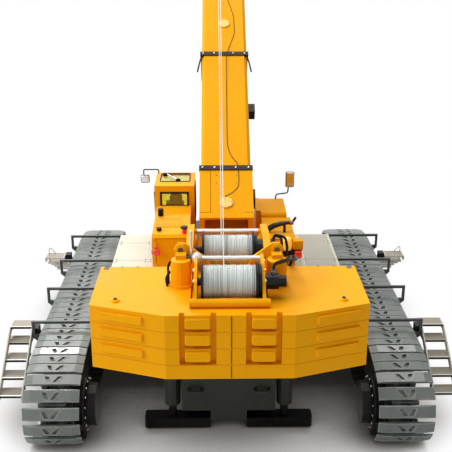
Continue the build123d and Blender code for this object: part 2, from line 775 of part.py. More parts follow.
# Ballast rams on the counterweight, each with a yoke arm on its top
ramX = 19.2
ramY = -86.0
ramRadius = 4.0
ramTop = 82.0
ramSides = 16
ramFootRadius = 4.7
ramFootHeight = 1.2
capSize = (4.2, 5.6)
capHeight = 2.2
yokeY = -81.4
yokeThick = 1.3
lugX = 19.4
lugZ = 84.9
lugBore = 1.1
yokeOutline = [(7.6, 77.4), (9.6, 81.6), (17.4, 87.5), (20.4, 87.7), (22.2, 84.8), (20.8, 82.2), (16.0, 82.0),
               (11.4, 77.4)]
with BuildPart() as ballastRams:
    for side in (-1, 1):
        for radius, height in ((ramFootRadius, ramFootHeight), (ramRadius, ramTop - ballastTop)):
            with BuildSketch(Plane.XY.offset(ballastTop)):
                with Locations((side * ramX, ramY)):
                    RegularPolygon(radius, ramSides)
            extrude(amount=height)
        with BuildSketch(Plane.XY.offset(ramTop)):
            with Locations((side * ramX, ramY + (ramRadius - capSize[1] / 2) + 1)):
                Rectangle(*capSize)
        extrude(amount=capHeight)
        with BuildSketch(Plane(origin=(0, yokeY, 0), x_dir=(1, 0, 0), z_dir=(0, -1, 0))):
            with BuildLine():
                Polyline([(side * x, z) for x, z in yokeOutline], close=True)
            make_face()
            with Locations((side * lugX, lugZ)):
                RegularPolygon(lugBore, hubSides, mode=Mode.SUBTRACT)
        extrude(amount=yokeThick / 2, both=True)
save(ballastRams.part, "ballast_rams")

# Exhaust: a bent pipe over the right housing, on a post
exhaustY = -17.0
with BuildPart() as exhaust:
    with BuildLine() as exhaustLine:
        Polyline((18.4, exhaustY, 69.2), (29.0, exhaustY, 71.8))
        ThreePointArc((29.0, exhaustY, 71.8), (30.6, exhaustY, 72.4), (31.9, exhaustY, 73.5))
        Line((31.9, exhaustY, 73.5), (33.8, exhaustY, 75.4))
    with BuildSketch(Plane(origin=(18.4, exhaustY, 69.2), z_dir=(10.6, 0, 2.6))):
        RegularPolygon(1.25, 6)
    sweep(path=exhaustLine.line)
    for x, height in ((18.9, 1.4), (28.6, 3.2)):
        with BuildSketch(Plane.XY.offset(67.9)):
            with Locations((x, exhaustY)):
                Rectangle(1.5, 1.5)
        extrude(amount=height)
save(exhaust.part, "exhaust_pipe")

# Lamps: a flashing beacon on a shelf behind the right housing, a red lamp on each housing's rear face
beaconX = 28.6
beaconY = -25.0
beaconBase = 62.3
redLampX = [-33.6, 34.0]
redLampZ = 60.6
housingRearY = [-23.0, -22.0]
shelfRearY = beaconY - 2.2
with BuildPart() as lamps:
    with BuildSketch(Plane.XY.offset(beaconBase)):
        with Locations((beaconX, beaconY)):
            RegularPolygon(2.1, 12)
    extrude(amount=3.4)
    with BuildSketch(Plane.XY.offset(beaconBase + 3.4)):
        with Locations((beaconX, beaconY)):
            RegularPolygon(2.1, 12)
    extrude(amount=1.6, taper=38)
    for x, y in zip(redLampX, (housingRearY[0], shelfRearY)):
        with BuildSketch(Plane(origin=(x, y, redLampZ), x_dir=(1, 0, 0), z_dir=(0, -1, 0))):
            RegularPolygon(1.3, 12)
        extrude(amount=1.3)
save(lamps.part, "lamps")

# Roof fittings on the housings: x, y, bottom z, radius, height
fittingTable = [(-33.0, 3.0, 69.64, 1.5, 3.2), (-32.6, -17.0, 68.94, 1.3, 1.2), (-20.2, -20.2, 68.84, 0.9, 2.8)]
with BuildPart() as roofFittings:
    for x, y, z, radius, height in fittingTable:
        with BuildSketch(Plane.XY.offset(z + 0.4)):
            with Locations((x, y)):
                RegularPolygon(radius, 12)
        extrude(amount=height)
    with BuildSketch(Plane.XY.offset(beaconBase - 2.2)):
        with Locations((31.2, (housingRearY[1] + shelfRearY) / 2)):
            Rectangle(9.2, housingRearY[1] - shelfRearY)
    extrude(amount=2.2)
    with BuildSketch(Plane.XY.offset(beaconBase)):
        with Locations((34.0, housingRearY[1] - 2.2)):
            Rectangle(3.6, 3.2)
    extrude(amount=4.2)
save(roofFittings.part, "roof_fittings")

# Boom sections


bellyFlats = 4


def boomFace(width, depth, topEdge, bellyRound, mode=Mode.ADD):
    """Box section centred on the boom's middle line: bevelled top edges, belly bent round in narrow flats."""
    halfWidth = width / 2
    halfDepth = depth / 2
    right = [(halfWidth - topEdge, halfDepth), (halfWidth, halfDepth - topEdge)]
    for bend in range(bellyFlats + 1):
        turn = math.pi / 2 * bend / bellyFlats
        right.append((halfWidth - bellyRound + bellyRound * math.cos(turn),
                      bellyRound - halfDepth - bellyRound * math.sin(turn)))
    left = [(-x, y) for x, y in reversed(right)]
    with Locations((0, boomMiddle)):
        with BuildSketch(mode=Mode.PRIVATE) as outline:
            with BuildLine():
                Polyline(right + left, close=True)
            make_face()
        add(outline.sketch, mode=mode)


boomEdge = 1.5
bellyRound = 7.0
backU = 7.0
boxEndU = 35.8
boxWidth = 26.0
bandLength = 2.8
bandRise = 0.6
bandTable = [35.8, 116.6, 200.0]
coverTable = [15.7, 142.4]
coverRadius = 3.15
coverSides = 18
coverThick = 0.5
lugRoot = 9.0
lugTip = 3.6
lugDrop = 2.4
lugTop = boomBottom + 0.5
footEyeRadius = 5.5
footEyeSides = 20
footBore = 2.5
with BuildPart() as boomBase:
    with BuildSketch(boomAcross(backU)):
        boomFace(boomWidth, boomDepth, boomEdge, bellyRound)
    extrude(amount=boomLength - backU)
    with BuildSketch(boomAcross(60)):
        boomFace(boomWidth - 2 * wall, boomDepth - 2 * wall, boomEdge - 0.5, bellyRound - 1.0)
    extrude(amount=boomLength, mode=Mode.SUBTRACT)
    with BuildSketch(boomAcross(backU)):
        with Locations((0, boomMiddle)):
            Rectangle(boxWidth, boomDepth)
    extrude(amount=boxEndU - backU)
    with BuildSketch(boomAcross(backU)):
        with Locations((0, 13.2)):
            Rectangle(21.0, 14.4)
    extrude(amount=28, mode=Mode.SUBTRACT)
    with BuildSketch(boomSide):
        RegularPolygon(footEyeRadius, footEyeSides)
        with Locations((6, 2)):
            Rectangle(12, 11)
    extrude(amount=boxWidth / 2, both=True)
    with BuildSketch(boomSide):
        Circle(footBore)
    extrude(amount=boxWidth, both=True, mode=Mode.SUBTRACT)
    for u in coverTable:
        with BuildSketch(Plane(origin=boomPoint(u, boomTop, 0), x_dir=(1, 0, 0), z_dir=(0, -sinE, cosE))):
            RegularPolygon(coverRadius, coverSides)
        extrude(amount=coverThick)
    for x in (-3.4, 3.4):
        with BuildSketch(Plane(origin=boomPoint(0, 0, x), x_dir=(0, cosE, sinE), z_dir=(1, 0, 0))):
            with BuildLine():
                Polyline((rodPinU - lugRoot, lugTop), (rodPinU - lugTip, rodPinW - lugDrop),
                         (rodPinU + lugTip, rodPinW - lugDrop), (rodPinU + lugRoot, lugTop), close=True)
            make_face()
        extrude(amount=0.7, both=True)
save(boomBase.part, "boom_base")

with BuildPart() as boomBands:
    rings = [(u, bandLength) for u in bandTable] + [(boomLength - collarLength, collarLength)]
    for u, length in rings:
        with BuildSketch(boomAcross(u)):
            boomFace(boomWidth + 2 * bandRise, boomDepth + 2 * bandRise, boomEdge + 0.3, bellyRound + 0.6)
            boomFace(boomWidth, boomDepth, boomEdge, bellyRound, mode=Mode.SUBTRACT)
        extrude(amount=length)
save(boomBands.part, "boom_bands")

# Fittings on the boom's right side: a round cap near the foot and a box farther up
capU, capW = 27.0, 10.0
boxU, boxW = 82.0, 14.5
with BuildPart() as boomFittings:
    with BuildSketch(Plane(origin=boomPoint(capU, capW, boxWidth / 2), x_dir=(0, cosE, sinE), z_dir=(1, 0, 0))):
        RegularPolygon(5.0, 20)
    extrude(amount=1.5)
    with BuildSketch(Plane(origin=boomPoint(boxU, boxW, boomWidth / 2), x_dir=(0, cosE, sinE), z_dir=(1, 0, 0))):
        Rectangle(5.6, 6.0)
    extrude(amount=3.6)
save(boomFittings.part, "boom_fittings")

for i in range(1, sectionCount + 1):
    width = boomWidth - sectionStep * i
    depth = boomDepth - sectionStep * i
    edge = boomEdge - 0.15 * i
    belly = bellyRound - 0.9 * i
    endU = boomLength + collarPitch * i
    with BuildPart() as section:
        with BuildSketch(boomAcross(nestStart + collarPitch * i)):
            boomFace(width, depth, edge, belly)
            boomFace(width - 2 * wall, depth - 2 * wall, edge - 0.4, belly - 1.0, mode=Mode.SUBTRACT)
        extrude(amount=endU - nestStart - collarPitch * i)
        with BuildSketch(boomAcross(endU - collarLength)):
            boomFace(width + 2 * collarRise, depth + 2 * collarRise, edge + 0.3, belly + 0.6)
            boomFace(width - 2 * wall, depth - 2 * wall, edge - 0.4, belly - 1.0, mode=Mode.SUBTRACT)
        extrude(amount=collarLength)
    save(section.part, "boom_section_" + str(i))

# Boom head
lastU = boomLength + collarPitch * sectionCount
headPinU = lastU + 15.0
headPinW = -18.5
topPinU = lastU + 13.0
topPinW = 13.0
headPlateX = 5.4
headOutline = [(lastU, 16), (topPinU, 18), (topPinU + 5, 14), (headPinU + 5, 0), (headPinU + 5, headPinW),
               (headPinU + 3, headPinW - 4.5), (headPinU - 3, headPinW - 4.5), (headPinU - 5, headPinW),
               (lastU + 4, -4), (lastU, 2)]
with BuildPart() as boomHead:
    for x in (-headPlateX - 0.6, headPlateX + 0.6):
        with BuildSketch(Plane(origin=boomPoint(0, 0, x), x_dir=(0, cosE, sinE), z_dir=(1, 0, 0))):
            with BuildLine():
                Polyline(headOutline, close=True)
            make_face()
        extrude(amount=0.6, both=True)
    with BuildSketch(boomAcross(lastU)):
        boomFace(12.6, 14.0, 0.9, 3.4)
    extrude(amount=3)
    for u, w in ((headPinU, headPinW), (topPinU, topPinW)):
        with BuildSketch(Plane(origin=boomPoint(u, w), x_dir=(0, cosE, sinE), z_dir=(1, 0, 0))):
            RegularPolygon(1.2, 12)
        extrude(amount=headPlateX + 1.8, both=True)
save(boomHead.part, "boom_head")

# Sheaves
sheaveRadius = 4.1
sheaveSides = 20
sheaveBore = 1.25
with BuildPart() as topSheave:
    with BuildSketch(Plane(origin=boomPoint(topPinU, topPinW), x_dir=(0, cosE, sinE), z_dir=(1, 0, 0))):
        RegularPolygon(sheaveRadius, sheaveSides)
        Circle(sheaveBore, mode=Mode.SUBTRACT)
    extrude(amount=1.0, both=True)
save(topSheave.part, "top_sheave")

fallX = 2.2
with BuildPart() as headSheaves:
    with BuildSketch(Plane(origin=boomPoint(headPinU, headPinW), x_dir=(0, cosE, sinE), z_dir=(1, 0, 0))):
        RegularPolygon(2.0, hubSides)
        Circle(sheaveBore, mode=Mode.SUBTRACT)
    extrude(amount=4.8, both=True)
    for x in (-fallX, fallX):
        with BuildSketch(Plane(origin=boomPoint(headPinU, headPinW, x), x_dir=(0, cosE, sinE), z_dir=(1, 0, 0))):
            RegularPolygon(sheaveRadius, sheaveSides)
            RegularPolygon(1.6, hubSides, mode=Mode.SUBTRACT)
        extrude(amount=0.9, both=True)
save(headSheaves.part, "head_sheaves")

# Hook block, hanging straight down from the head sheaves
headPin = boomPoint(headPinU, headPinW)
hangY = headPin[1]
hangZ = headPin[2]
blockPinZ = hangZ - 14.0
blockTop = hangZ - 9.0
blockLow = hangZ - 21.5
with BuildPart() as hookBlock:
    for x in (-4.1, 4.1):
        with BuildSketch(sideAt(x)):
            with Locations((hangY, (blockTop + blockLow) / 2)):
                Rectangle(9.6, blockTop - blockLow)
                chamfer(vertices(), 2.0)
        extrude(amount=0.5, both=True)
    with BuildSketch(sideAt(0)):
        with Locations((hangY, blockLow + 1.4)):
            Rectangle(6.0, 2.8)
        with Locations((hangY, blockPinZ)):
            RegularPolygon(1.0, hubSides)
    extrude(amount=3.6, both=True)
    with BuildSketch(Plane.XY.offset(blockPinZ)):
        with Locations(*[(x, hangY + y) for x in (-fallX, fallX) for y in (-4.5, 4.5)]):
            RegularPolygon(0.32, 6)
    extrude(amount=hangZ - blockPinZ)
save(hookBlock.part, "hook_block")

with BuildPart() as blockSheaves:
    for x in (-fallX, fallX):
        with BuildSketch(sideAt(x)):
            with Locations((hangY, blockPinZ)):
                RegularPolygon(3.6, sheaveSides)
                RegularPolygon(1.4, hubSides, mode=Mode.SUBTRACT)
        extrude(amount=0.9, both=True)
    with BuildSketch(sideAt(0)):
        with Locations((hangY, blockPinZ)):
            RegularPolygon(1.8, hubSides)
            Circle(1.05, mode=Mode.SUBTRACT)
    extrude(amount=3.2, both=True)
save(blockSheaves.part, "block_sheaves")

hookTubeR = 0.9
hookSides = 6
hookBendR = 2.6
hookBends = 9
hookStep = 30.0
hookStemRadius = 1.7
hookStemHeight = 1.5
hookStemPlay = 0.1
hookEyeZ = blockLow - 6.0
hookPath = []
for bend in range(hookBends + 1):
    turn = math.radians(90 - hookStep * bend)
    hookPath.append((0, hangY + hookBendR * math.cos(turn), hookEyeZ + hookBendR * math.sin(turn)))
hookStart = tuple(b - a for a, b in zip(hookPath[0], hookPath[1]))
with BuildPart() as hook:
    with BuildLine() as hookLine:
        Polyline(hookPath)
    with BuildSketch(Plane(origin=hookPath[0], x_dir=(1, 0, 0), z_dir=hookStart)):
        RegularPolygon(hookTubeR, hookSides)
    sweep(path=hookLine.line, transition=Transition.RIGHT)
    with BuildSketch(Plane.XY.offset(hookEyeZ + hookBendR)):
        with Locations((0, hangY)):
            RegularPolygon(hookTubeR, hookSides)
    extrude(amount=blockLow - hookEyeZ - hookBendR - hookStemPlay)
    with BuildSketch(Plane.XY.offset(blockLow - hookStemPlay - hookStemHeight)):
        with Locations((0, hangY)):
            Circle(hookStemRadius)
    extrude(amount=hookStemHeight)
save(hook.part, "hook")

# Luffing cylinder
rodPin = boomPoint(rodPinU, rodPinW)
cylinderLength = math.hypot(rodPin[1] - cylinderFootY, rodPin[2] - cylinderFootZ)
cylinderDir = (0, (rodPin[1] - cylinderFootY) / cylinderLength, (rodPin[2] - cylinderFootZ) / cylinderLength)
barrelLength = 106.0
barrelSides = 20
rodGap = 0.25
rodHoleSides = 16
cylinderPlane = Plane(origin=(0, cylinderFootY, cylinderFootZ), x_dir=(1, 0, 0), z_dir=cylinderDir)
with BuildPart() as luffBarrel:
    with BuildSketch(cylinderPlane.offset(3)):
        RegularPolygon(barrelRadius, barrelSides)
    extrude(amount=barrelLength - 3)
    with BuildSketch(sideAt(0)):
        with Locations((cylinderFootY, cylinderFootZ)):
            RegularPolygon(3.4, 16)
    extrude(amount=3.2, both=True)
    with BuildSketch(sideAt(0)):
        with Locations((cylinderFootY, cylinderFootZ)):
            Circle(1.6)
    extrude(amount=6, both=True, mode=Mode.SUBTRACT)
    with BuildSketch(cylinderPlane.offset(20)):
        RegularPolygon(rodRadius + rodGap, rodHoleSides)
    extrude(amount=barrelLength, mode=Mode.SUBTRACT)
save(luffBarrel.part, "luff_barrel")

eyeHalf = 2.2
eyeLength = 4.2
with BuildPart() as luffRod:
    with BuildSketch(cylinderPlane.offset(44)):
        RegularPolygon(rodRadius, rodHoleSides)
    extrude(amount=cylinderLength - eyeLength - 44)
    with BuildSketch(cylinderPlane.offset(cylinderLength - eyeLength)):
        Rectangle(2 * eyeHalf, 7.0)
    extrude(amount=eyeLength + 2.6)
save(luffRod.part, "luff_rod")
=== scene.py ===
import bpy
import json
import math
import numpy as np
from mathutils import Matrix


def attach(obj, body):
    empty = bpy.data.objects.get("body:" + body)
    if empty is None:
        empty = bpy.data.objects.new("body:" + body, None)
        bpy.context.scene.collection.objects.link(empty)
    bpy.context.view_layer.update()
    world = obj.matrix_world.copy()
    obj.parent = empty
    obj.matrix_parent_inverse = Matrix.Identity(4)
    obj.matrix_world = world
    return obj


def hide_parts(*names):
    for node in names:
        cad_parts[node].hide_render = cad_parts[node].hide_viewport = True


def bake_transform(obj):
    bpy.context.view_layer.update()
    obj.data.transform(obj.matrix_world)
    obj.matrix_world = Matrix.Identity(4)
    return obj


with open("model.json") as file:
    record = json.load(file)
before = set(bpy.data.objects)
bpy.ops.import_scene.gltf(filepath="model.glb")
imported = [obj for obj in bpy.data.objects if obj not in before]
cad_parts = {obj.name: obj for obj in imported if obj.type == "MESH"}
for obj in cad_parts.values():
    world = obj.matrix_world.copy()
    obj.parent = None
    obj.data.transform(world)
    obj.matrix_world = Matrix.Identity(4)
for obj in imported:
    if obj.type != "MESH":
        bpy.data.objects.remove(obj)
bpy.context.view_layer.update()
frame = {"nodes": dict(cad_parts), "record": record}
scene = bpy.context.scene
nodes = frame["nodes"]
mm = 0.001
print("stage 1: frame loaded,", len(nodes), "nodes")

# Camera, as the photograph was taken: behind, above, looking forward and down
cameraSettings = {"place": (-0.0054, -0.387, 0.2065), "pitchDown": 20.08, "turned": -0.8, "lens": 64.9,
                  "sensor": 36.0}
cameraData = bpy.data.cameras.new("view_camera")
cameraData.lens = cameraSettings["lens"]
cameraData.sensor_width = cameraSettings["sensor"]
cameraData.clip_start = 0.01
cameraData.clip_end = 20.0
camera = bpy.data.objects.new("view_camera", cameraData)
camera.location = cameraSettings["place"]
camera.rotation_euler = (math.radians(90.0 - cameraSettings["pitchDown"]), 0.0,
                         math.radians(cameraSettings["turned"]))
scene.collection.objects.link(camera)
scene.camera = camera

# Sizes in millimetres, the same as the solids have
track = {"centre": 72.65, "width": 23.2, "count": 72, "gap": 0.4, "thick": 1.2, "rise": 3.5, "drop": 0.5,
         "middle": -5.0, "half": 82.0, "wheelZ": 16.8, "pin": 12.1, "topZ": 31.3, "slope": 10.0,
         "phase": 0.89}
ballast = {"rear": -114.0, "shoulder": -104.0, "half": 53.9, "flat": 24.6}
slabTable = [("base", 44.4, 50.4), ("slab_1", 50.4, 57.3), ("slab_2", 57.3, 64.3), ("slab_3", 64.3, 71.2)]
winchTable = [("rear", -98.0, 78.0), ("front", -65.0, 78.0)]
boom = {"footY": -16.0, "footZ": 55.5, "elevation": math.radians(35.0), "top": 22.0}


# Shapes as arrays: each function returns corner points and faces, in millimetres


def unit(vector):
    vector = np.asarray(vector, dtype=float)
    return vector / np.linalg.norm(vector, axis=-1, keepdims=True)


def gridFaces(rows, columns, closed):
    # Quads of a grid of points, row by row; closed joins the last column to the first
    first = np.arange(rows - 1)[:, None] * columns
    step = np.arange(columns if closed else columns - 1)[None, :]
    after = (step + 1) % columns
    return np.stack([first + step, first + after, first + columns + after, first + columns + step],
                    -1).reshape(-1, 4)


def rings(points, capStart=True, capEnd=True):
    # Closed rings of points, skinned with quads and capped by one polygon at each end
    count, sides = points.shape[:2]
    faces = gridFaces(count, sides, True).tolist()
    if capStart:
        faces.append(list(range(sides))[::-1])
    if capEnd:
        faces.append(list(range((count - 1) * sides, count * sides)))
    return points.reshape(-1, 3), faces


def tube(path, radius, sides=8):
    # Round rod along a path: each ring stands square to the path's direction there
    path = np.asarray(path, dtype=float)
    ahead = unit(np.gradient(path, axis=0))
    spread = np.abs(ahead).max(axis=0)
    side = np.eye(3)[int(np.argmin(spread))]
    across = unit(np.cross(ahead, side))
    up = np.cross(ahead, across)
    turn = np.arange(sides) * 2 * math.pi / sides
    offset = np.cos(turn)[None, :, None] * across[:, None, :] + np.sin(turn)[None, :, None] * up[:, None, :]
    size = np.broadcast_to(np.asarray(radius, dtype=float), (len(path),))
    return rings(path[:, None, :] + offset * size[:, None, None])


def arcPath(corners, radius, steps=5):
    # Path through corner points whose bends are rounded by a quadratic curve of the given reach
    corners = np.asarray(corners, dtype=float)
    made = [corners[0]]
    for before, here, after in zip(corners[:-2], corners[1:-1], corners[2:]):
        reach = min(radius, np.linalg.norm(here - before) / 2.05, np.linalg.norm(after - here) / 2.05)
        start = here + unit(before - here) * reach
        end = here + unit(after - here) * reach
        t = np.linspace(0, 1, steps)[:, None]
        made.extend((1 - t) ** 2 * start + 2 * t * (1 - t) * here + t ** 2 * end)
    made.append(corners[-1])
    return np.array(made)


def outline(width, height, corner, steps=4):
    # Rounded rectangle about the origin: quarter circles at the four corners
    corner = min(corner, width / 2 - 1e-4, height / 2 - 1e-4)
    turn = np.linspace(0, math.pi / 2, steps + 1)
    quarter = np.stack([np.cos(turn), np.sin(turn)], -1) * corner
    middle = np.array([width / 2 - corner, height / 2 - corner])
    parts = []
    for k in range(4):
        c, s = round(math.cos(k * math.pi / 2)), round(math.sin(k * math.pi / 2))
        spin = np.array([[c, s], [-s, c]])
        sign = [(1, 1), (-1, 1), (-1, -1), (1, -1)][k]
        parts.append(quarter @ spin + middle * sign)
    return np.concatenate(parts)


def pad(centre, across, up, width, height, corner, rise, edge=0.15, sink=0.0, steps=4):
    # Raised plate with rounded corners and a bevelled rim, standing out of a plane along across x up
    across, up = unit(across), unit(up)
    out = np.cross(across, up)
    levels = [(0.0, -sink), (0.0, rise - edge), (edge, rise)]
    made = []
    for inset, level in levels:
        flat = outline(width - 2 * inset, height - 2 * inset, max(corner - inset, 0.02), steps)
        made.append(np.asarray(centre) + flat[:, :1] * across + flat[:, 1:] * up + out * level)
    return rings(np.array(made))


def lathe(profile, centre, axis, sides=24):
    # Solid of revolution: profile holds (radius, distance along the axis)
    axis = unit(axis)
    helper = np.eye(3)[int(np.argmin(np.abs(axis)))]
    across = unit(np.cross(axis, helper))
    up = np.cross(axis, across)
    turn = np.arange(sides) * 2 * math.pi / sides
    spoke = np.cos(turn)[:, None] * across + np.sin(turn)[:, None] * up
    profile = np.asarray(profile, dtype=float)
    along = profile[:, 1][:, None, None] * axis
    return rings(np.asarray(centre) + along + profile[:, 0][:, None, None] * spoke[None])


def joined(shapes):
    # Several shapes as one, their faces renumbered
    points, faces, base = [], [], 0
    for corners, polygons in shapes:
        points.append(corners)
        faces.extend([[base + i for i in polygon] for polygon in polygons])
        base += len(corners)
    return np.concatenate(points), faces


def mirrored(shape):
    # The same shape on the other side of the middle, with its faces turned to point outwards
    points, faces = shape
    return points * np.array([-1.0, 1.0, 1.0]), [list(face)[::-1] for face in faces]


def boomPoint(u, w, x=0.0):
    # Place in the boom's own measure: u along it, w above its axis
    cosE, sinE = math.cos(boom["elevation"]), math.sin(boom["elevation"])
    return np.array([x, boom["footY"] + u * cosE - w * sinE, boom["footZ"] + u * sinE + w * cosE])


boomAlong = boomPoint(1, 0) - boomPoint(0, 0)
boomUp = boomPoint(0, 1) - boomPoint(0, 0)
xWay, yWay, zWay = np.eye(3)


def piece(name, shape, finish, body, smooth=35.0, bevel=0.0, replaces=()):
    # New piece in metres with one finish, smooth shading below an angle and an optional bevel
    points, faces = shape
    data = bpy.data.meshes.new(name)
    data.from_pydata((np.asarray(points) * mm).tolist(), [], [list(f) for f in faces])
    data.update()
    data.materials.append(finishes[finish] if isinstance(finish, str) else finish)
    made = bpy.data.objects.new(name, data)
    scene.collection.objects.link(made)
    if bevel:
        rounding = made.modifiers.new("rounding", "BEVEL")
        rounding.width = bevel * mm
        rounding.segments = 1
        rounding.limit_method = "ANGLE"
        rounding.angle_limit = math.radians(40)
    if smooth:
        data.shade_smooth()
        data.set_sharp_from_angle(angle=math.radians(smooth))
    if body:
        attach(made, body)
    if replaces:
        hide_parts(*replaces)
    return made


# Materials: enamel, metal, glass and rubber, all on Object coordinates


def newMaterial(name):
    made = bpy.data.materials.new(name)
    made.use_nodes = True
    tree = made.node_tree
    tree.nodes.clear()
    out = tree.nodes.new("ShaderNodeOutputMaterial")
    shader = tree.nodes.new("ShaderNodeBsdfPrincipled")
    tree.links.new(shader.outputs["BSDF"], out.inputs["Surface"])
    coords = tree.nodes.new("ShaderNodeTexCoord")
    return made, tree, shader, coords.outputs["Object"]


def noiseNode(tree, vector, scale, detail=3.0, rough=0.55):
    node = tree.nodes.new("ShaderNodeTexNoise")
    node.inputs["Scale"].default_value = scale
    node.inputs["Detail"].default_value = detail
    node.inputs["Roughness"].default_value = rough
    tree.links.new(vector, node.inputs["Vector"])
    return node.outputs["Fac"]


def stretched(tree, vector, scale):
    # Coordinates multiplied along each axis, to draw a pattern out or press it together
    node = tree.nodes.new("ShaderNodeMapping")
    node.inputs["Scale"].default_value = scale
    tree.links.new(vector, node.inputs["Vector"])
    return node.outputs["Vector"]


def rampNode(tree, value, stops):
    # Colour ramp: stops are (position, colour) pairs
    node = tree.nodes.new("ShaderNodeValToRGB")
    ramp = node.color_ramp
    while len(ramp.elements) < len(stops):
        ramp.elements.new(0.5)
    for element, (position, colour) in zip(ramp.elements, stops):
        element.position = position
        element.color = (*colour, 1.0)
    tree.links.new(value, node.inputs["Fac"])
    return node.outputs["Color"]


def spanNode(tree, value, low, high, outLow, outHigh):
    # Value mapped from low..high to outLow..outHigh, clamped
    node = tree.nodes.new("ShaderNodeMapRange")
    for socket, amount in (("From Min", low), ("From Max", high), ("To Min", outLow), ("To Max", outHigh)):
        node.inputs[socket].default_value = amount
    tree.links.new(value, node.inputs["Value"])
    return node.outputs["Result"]


def mixColour(tree, share, first, second):
    node = tree.nodes.new("ShaderNodeMix")
    node.data_type = "RGBA"
    tree.links.new(share, node.inputs["Factor"])
    for socket, colour in ((node.inputs[6], first), (node.inputs[7], second)):
        if isinstance(colour, tuple):
            socket.default_value = (*colour, 1.0)
        else:
            tree.links.new(colour, socket)
    return node.outputs[2]


def bumpNode(tree, height, distance, strength=1.0):
    node = tree.nodes.new("ShaderNodeBump")
    node.inputs["Distance"].default_value = distance
    node.inputs["Strength"].default_value = strength
    tree.links.new(height, node.inputs["Height"])
    return node.outputs["Normal"]


def edgeShare(tree, radius=0.0007):
    # Share of a surface close to a corner: a rounded normal departs from the true one there
    bevel = tree.nodes.new("ShaderNodeBevel")
    bevel.samples = 4
    bevel.inputs["Radius"].default_value = radius
    geometry = tree.nodes.new("ShaderNodeNewGeometry")
    dot = tree.nodes.new("ShaderNodeVectorMath")
    dot.operation = "DOT_PRODUCT"
    tree.links.new(bevel.outputs["Normal"], dot.inputs[0])
    tree.links.new(geometry.outputs["Normal"], dot.inputs[1])
    return spanNode(tree, dot.outputs["Value"], 0.995, 0.90, 0.0, 1.0)


def paint(name, base, dark, light, rough, coat=0.0, metallic=0.0, edge=None, mirror=0.5,
          tint=(1.0, 1.0, 1.0)):
    # Enamel: cloudy colour between dark and light, fine bump, uneven gloss, and an optional painted
    # highlight on the corners
    made, tree, shader, place = newMaterial(name)
    cloud = noiseNode(tree, place, 38.0, 4.0)
    colour = rampNode(tree, cloud, [(0.30, dark), (0.52, base), (0.75, light)])
    # Painted highlight: corners take the lighter edge colour, broken up by noise, where the bevels would
    # catch the light
    if edge:
        edgeHighlight = tree.nodes.new("ShaderNodeMath")
        edgeHighlight.operation = "MULTIPLY"
        tree.links.new(edgeShare(tree), edgeHighlight.inputs[0])
        tree.links.new(spanNode(tree, noiseNode(tree, place, 260.0, 5.0), 0.38, 0.62, 0.15, 1.0),
                       edgeHighlight.inputs[1])
        colour = mixColour(tree, edgeHighlight.outputs["Value"], colour, edge)
    tree.links.new(colour, shader.inputs["Base Color"])
    fine = noiseNode(tree, place, 900.0, 2.0)
    tree.links.new(spanNode(tree, cloud, 0.3, 0.7, rough * 0.85, rough * 1.15), shader.inputs["Roughness"])
    tree.links.new(bumpNode(tree, fine, 0.00002, 0.5), shader.inputs["Normal"])
    shader.inputs["Specular IOR Level"].default_value = mirror
    shader.inputs["Specular Tint"].default_value = (*tint, 1.0)
    shader.inputs["Metallic"].default_value = metallic
    shader.inputs["Coat Weight"].default_value = coat
    shader.inputs["Coat Roughness"].default_value = 0.12
    return made


def windowGlass(name, tint, clear):
    # Thin pane: mostly clear with a tinted mirror-like face
    made, tree, shader, place = newMaterial(name)
    shader.inputs["Base Color"].default_value = (*tint, 1.0)
    shader.inputs["Roughness"].default_value = 0.04
    shader.inputs["Transmission Weight"].default_value = clear
    shader.inputs["IOR"].default_value = 1.45
    return made


def lampGlass(name, colour, glow):
    made, tree, shader, place = newMaterial(name)
    shader.inputs["Base Color"].default_value = (*colour, 1.0)
    shader.inputs["Roughness"].default_value = 0.12
    shader.inputs["Coat Weight"].default_value = 0.6
    shader.inputs["Emission Color"].default_value = (*colour, 1.0)
    shader.inputs["Emission Strength"].default_value = glow
    return made


def rope(name, pale, dark):
    # Wound line: the turns lie along X, so colour runs in uneven narrow bands across it
    made, tree, shader, place = newMaterial(name)
    bands = noiseNode(tree, stretched(tree, place, (1.0, 0.02, 0.02)), 420.0, 3.0, 0.7)
    tree.links.new(rampNode(tree, bands,
                            [(0.34, dark), (0.5, pale), (0.68, tuple(min(1.0, c * 1.25) for c in pale))]),
                   shader.inputs["Base Color"])
    shader.inputs["Roughness"].default_value = 0.45
    shader.inputs["Metallic"].default_value = 0.15
    return made


def plateGrid(name, base, dark, pitch, rough, holes):
    # Walkway plate: a grid of small round marks, drawn as holes or as raised studs
    made, tree, shader, place = newMaterial(name)
    cells = tree.nodes.new("ShaderNodeTexVoronoi")
    cells.inputs["Scale"].default_value = 1.0 / pitch
    cells.inputs["Randomness"].default_value = 0.0
    tree.links.new(place, cells.inputs["Vector"])
    mark = spanNode(tree, cells.outputs["Distance"], 0.20, 0.30, 1.0, 0.0)
    cloud = rampNode(tree, noiseNode(tree, place, 60.0, 5.0),
                     [(0.3, tuple(c * 0.86 for c in base)), (0.7, base)])
    tree.links.new(mixColour(tree, mark, cloud, dark), shader.inputs["Base Color"])
    tree.links.new(bumpNode(tree, mark, -0.0003 if holes else 0.00012, 0.8), shader.inputs["Normal"])
    shader.inputs["Roughness"].default_value = rough
    return made


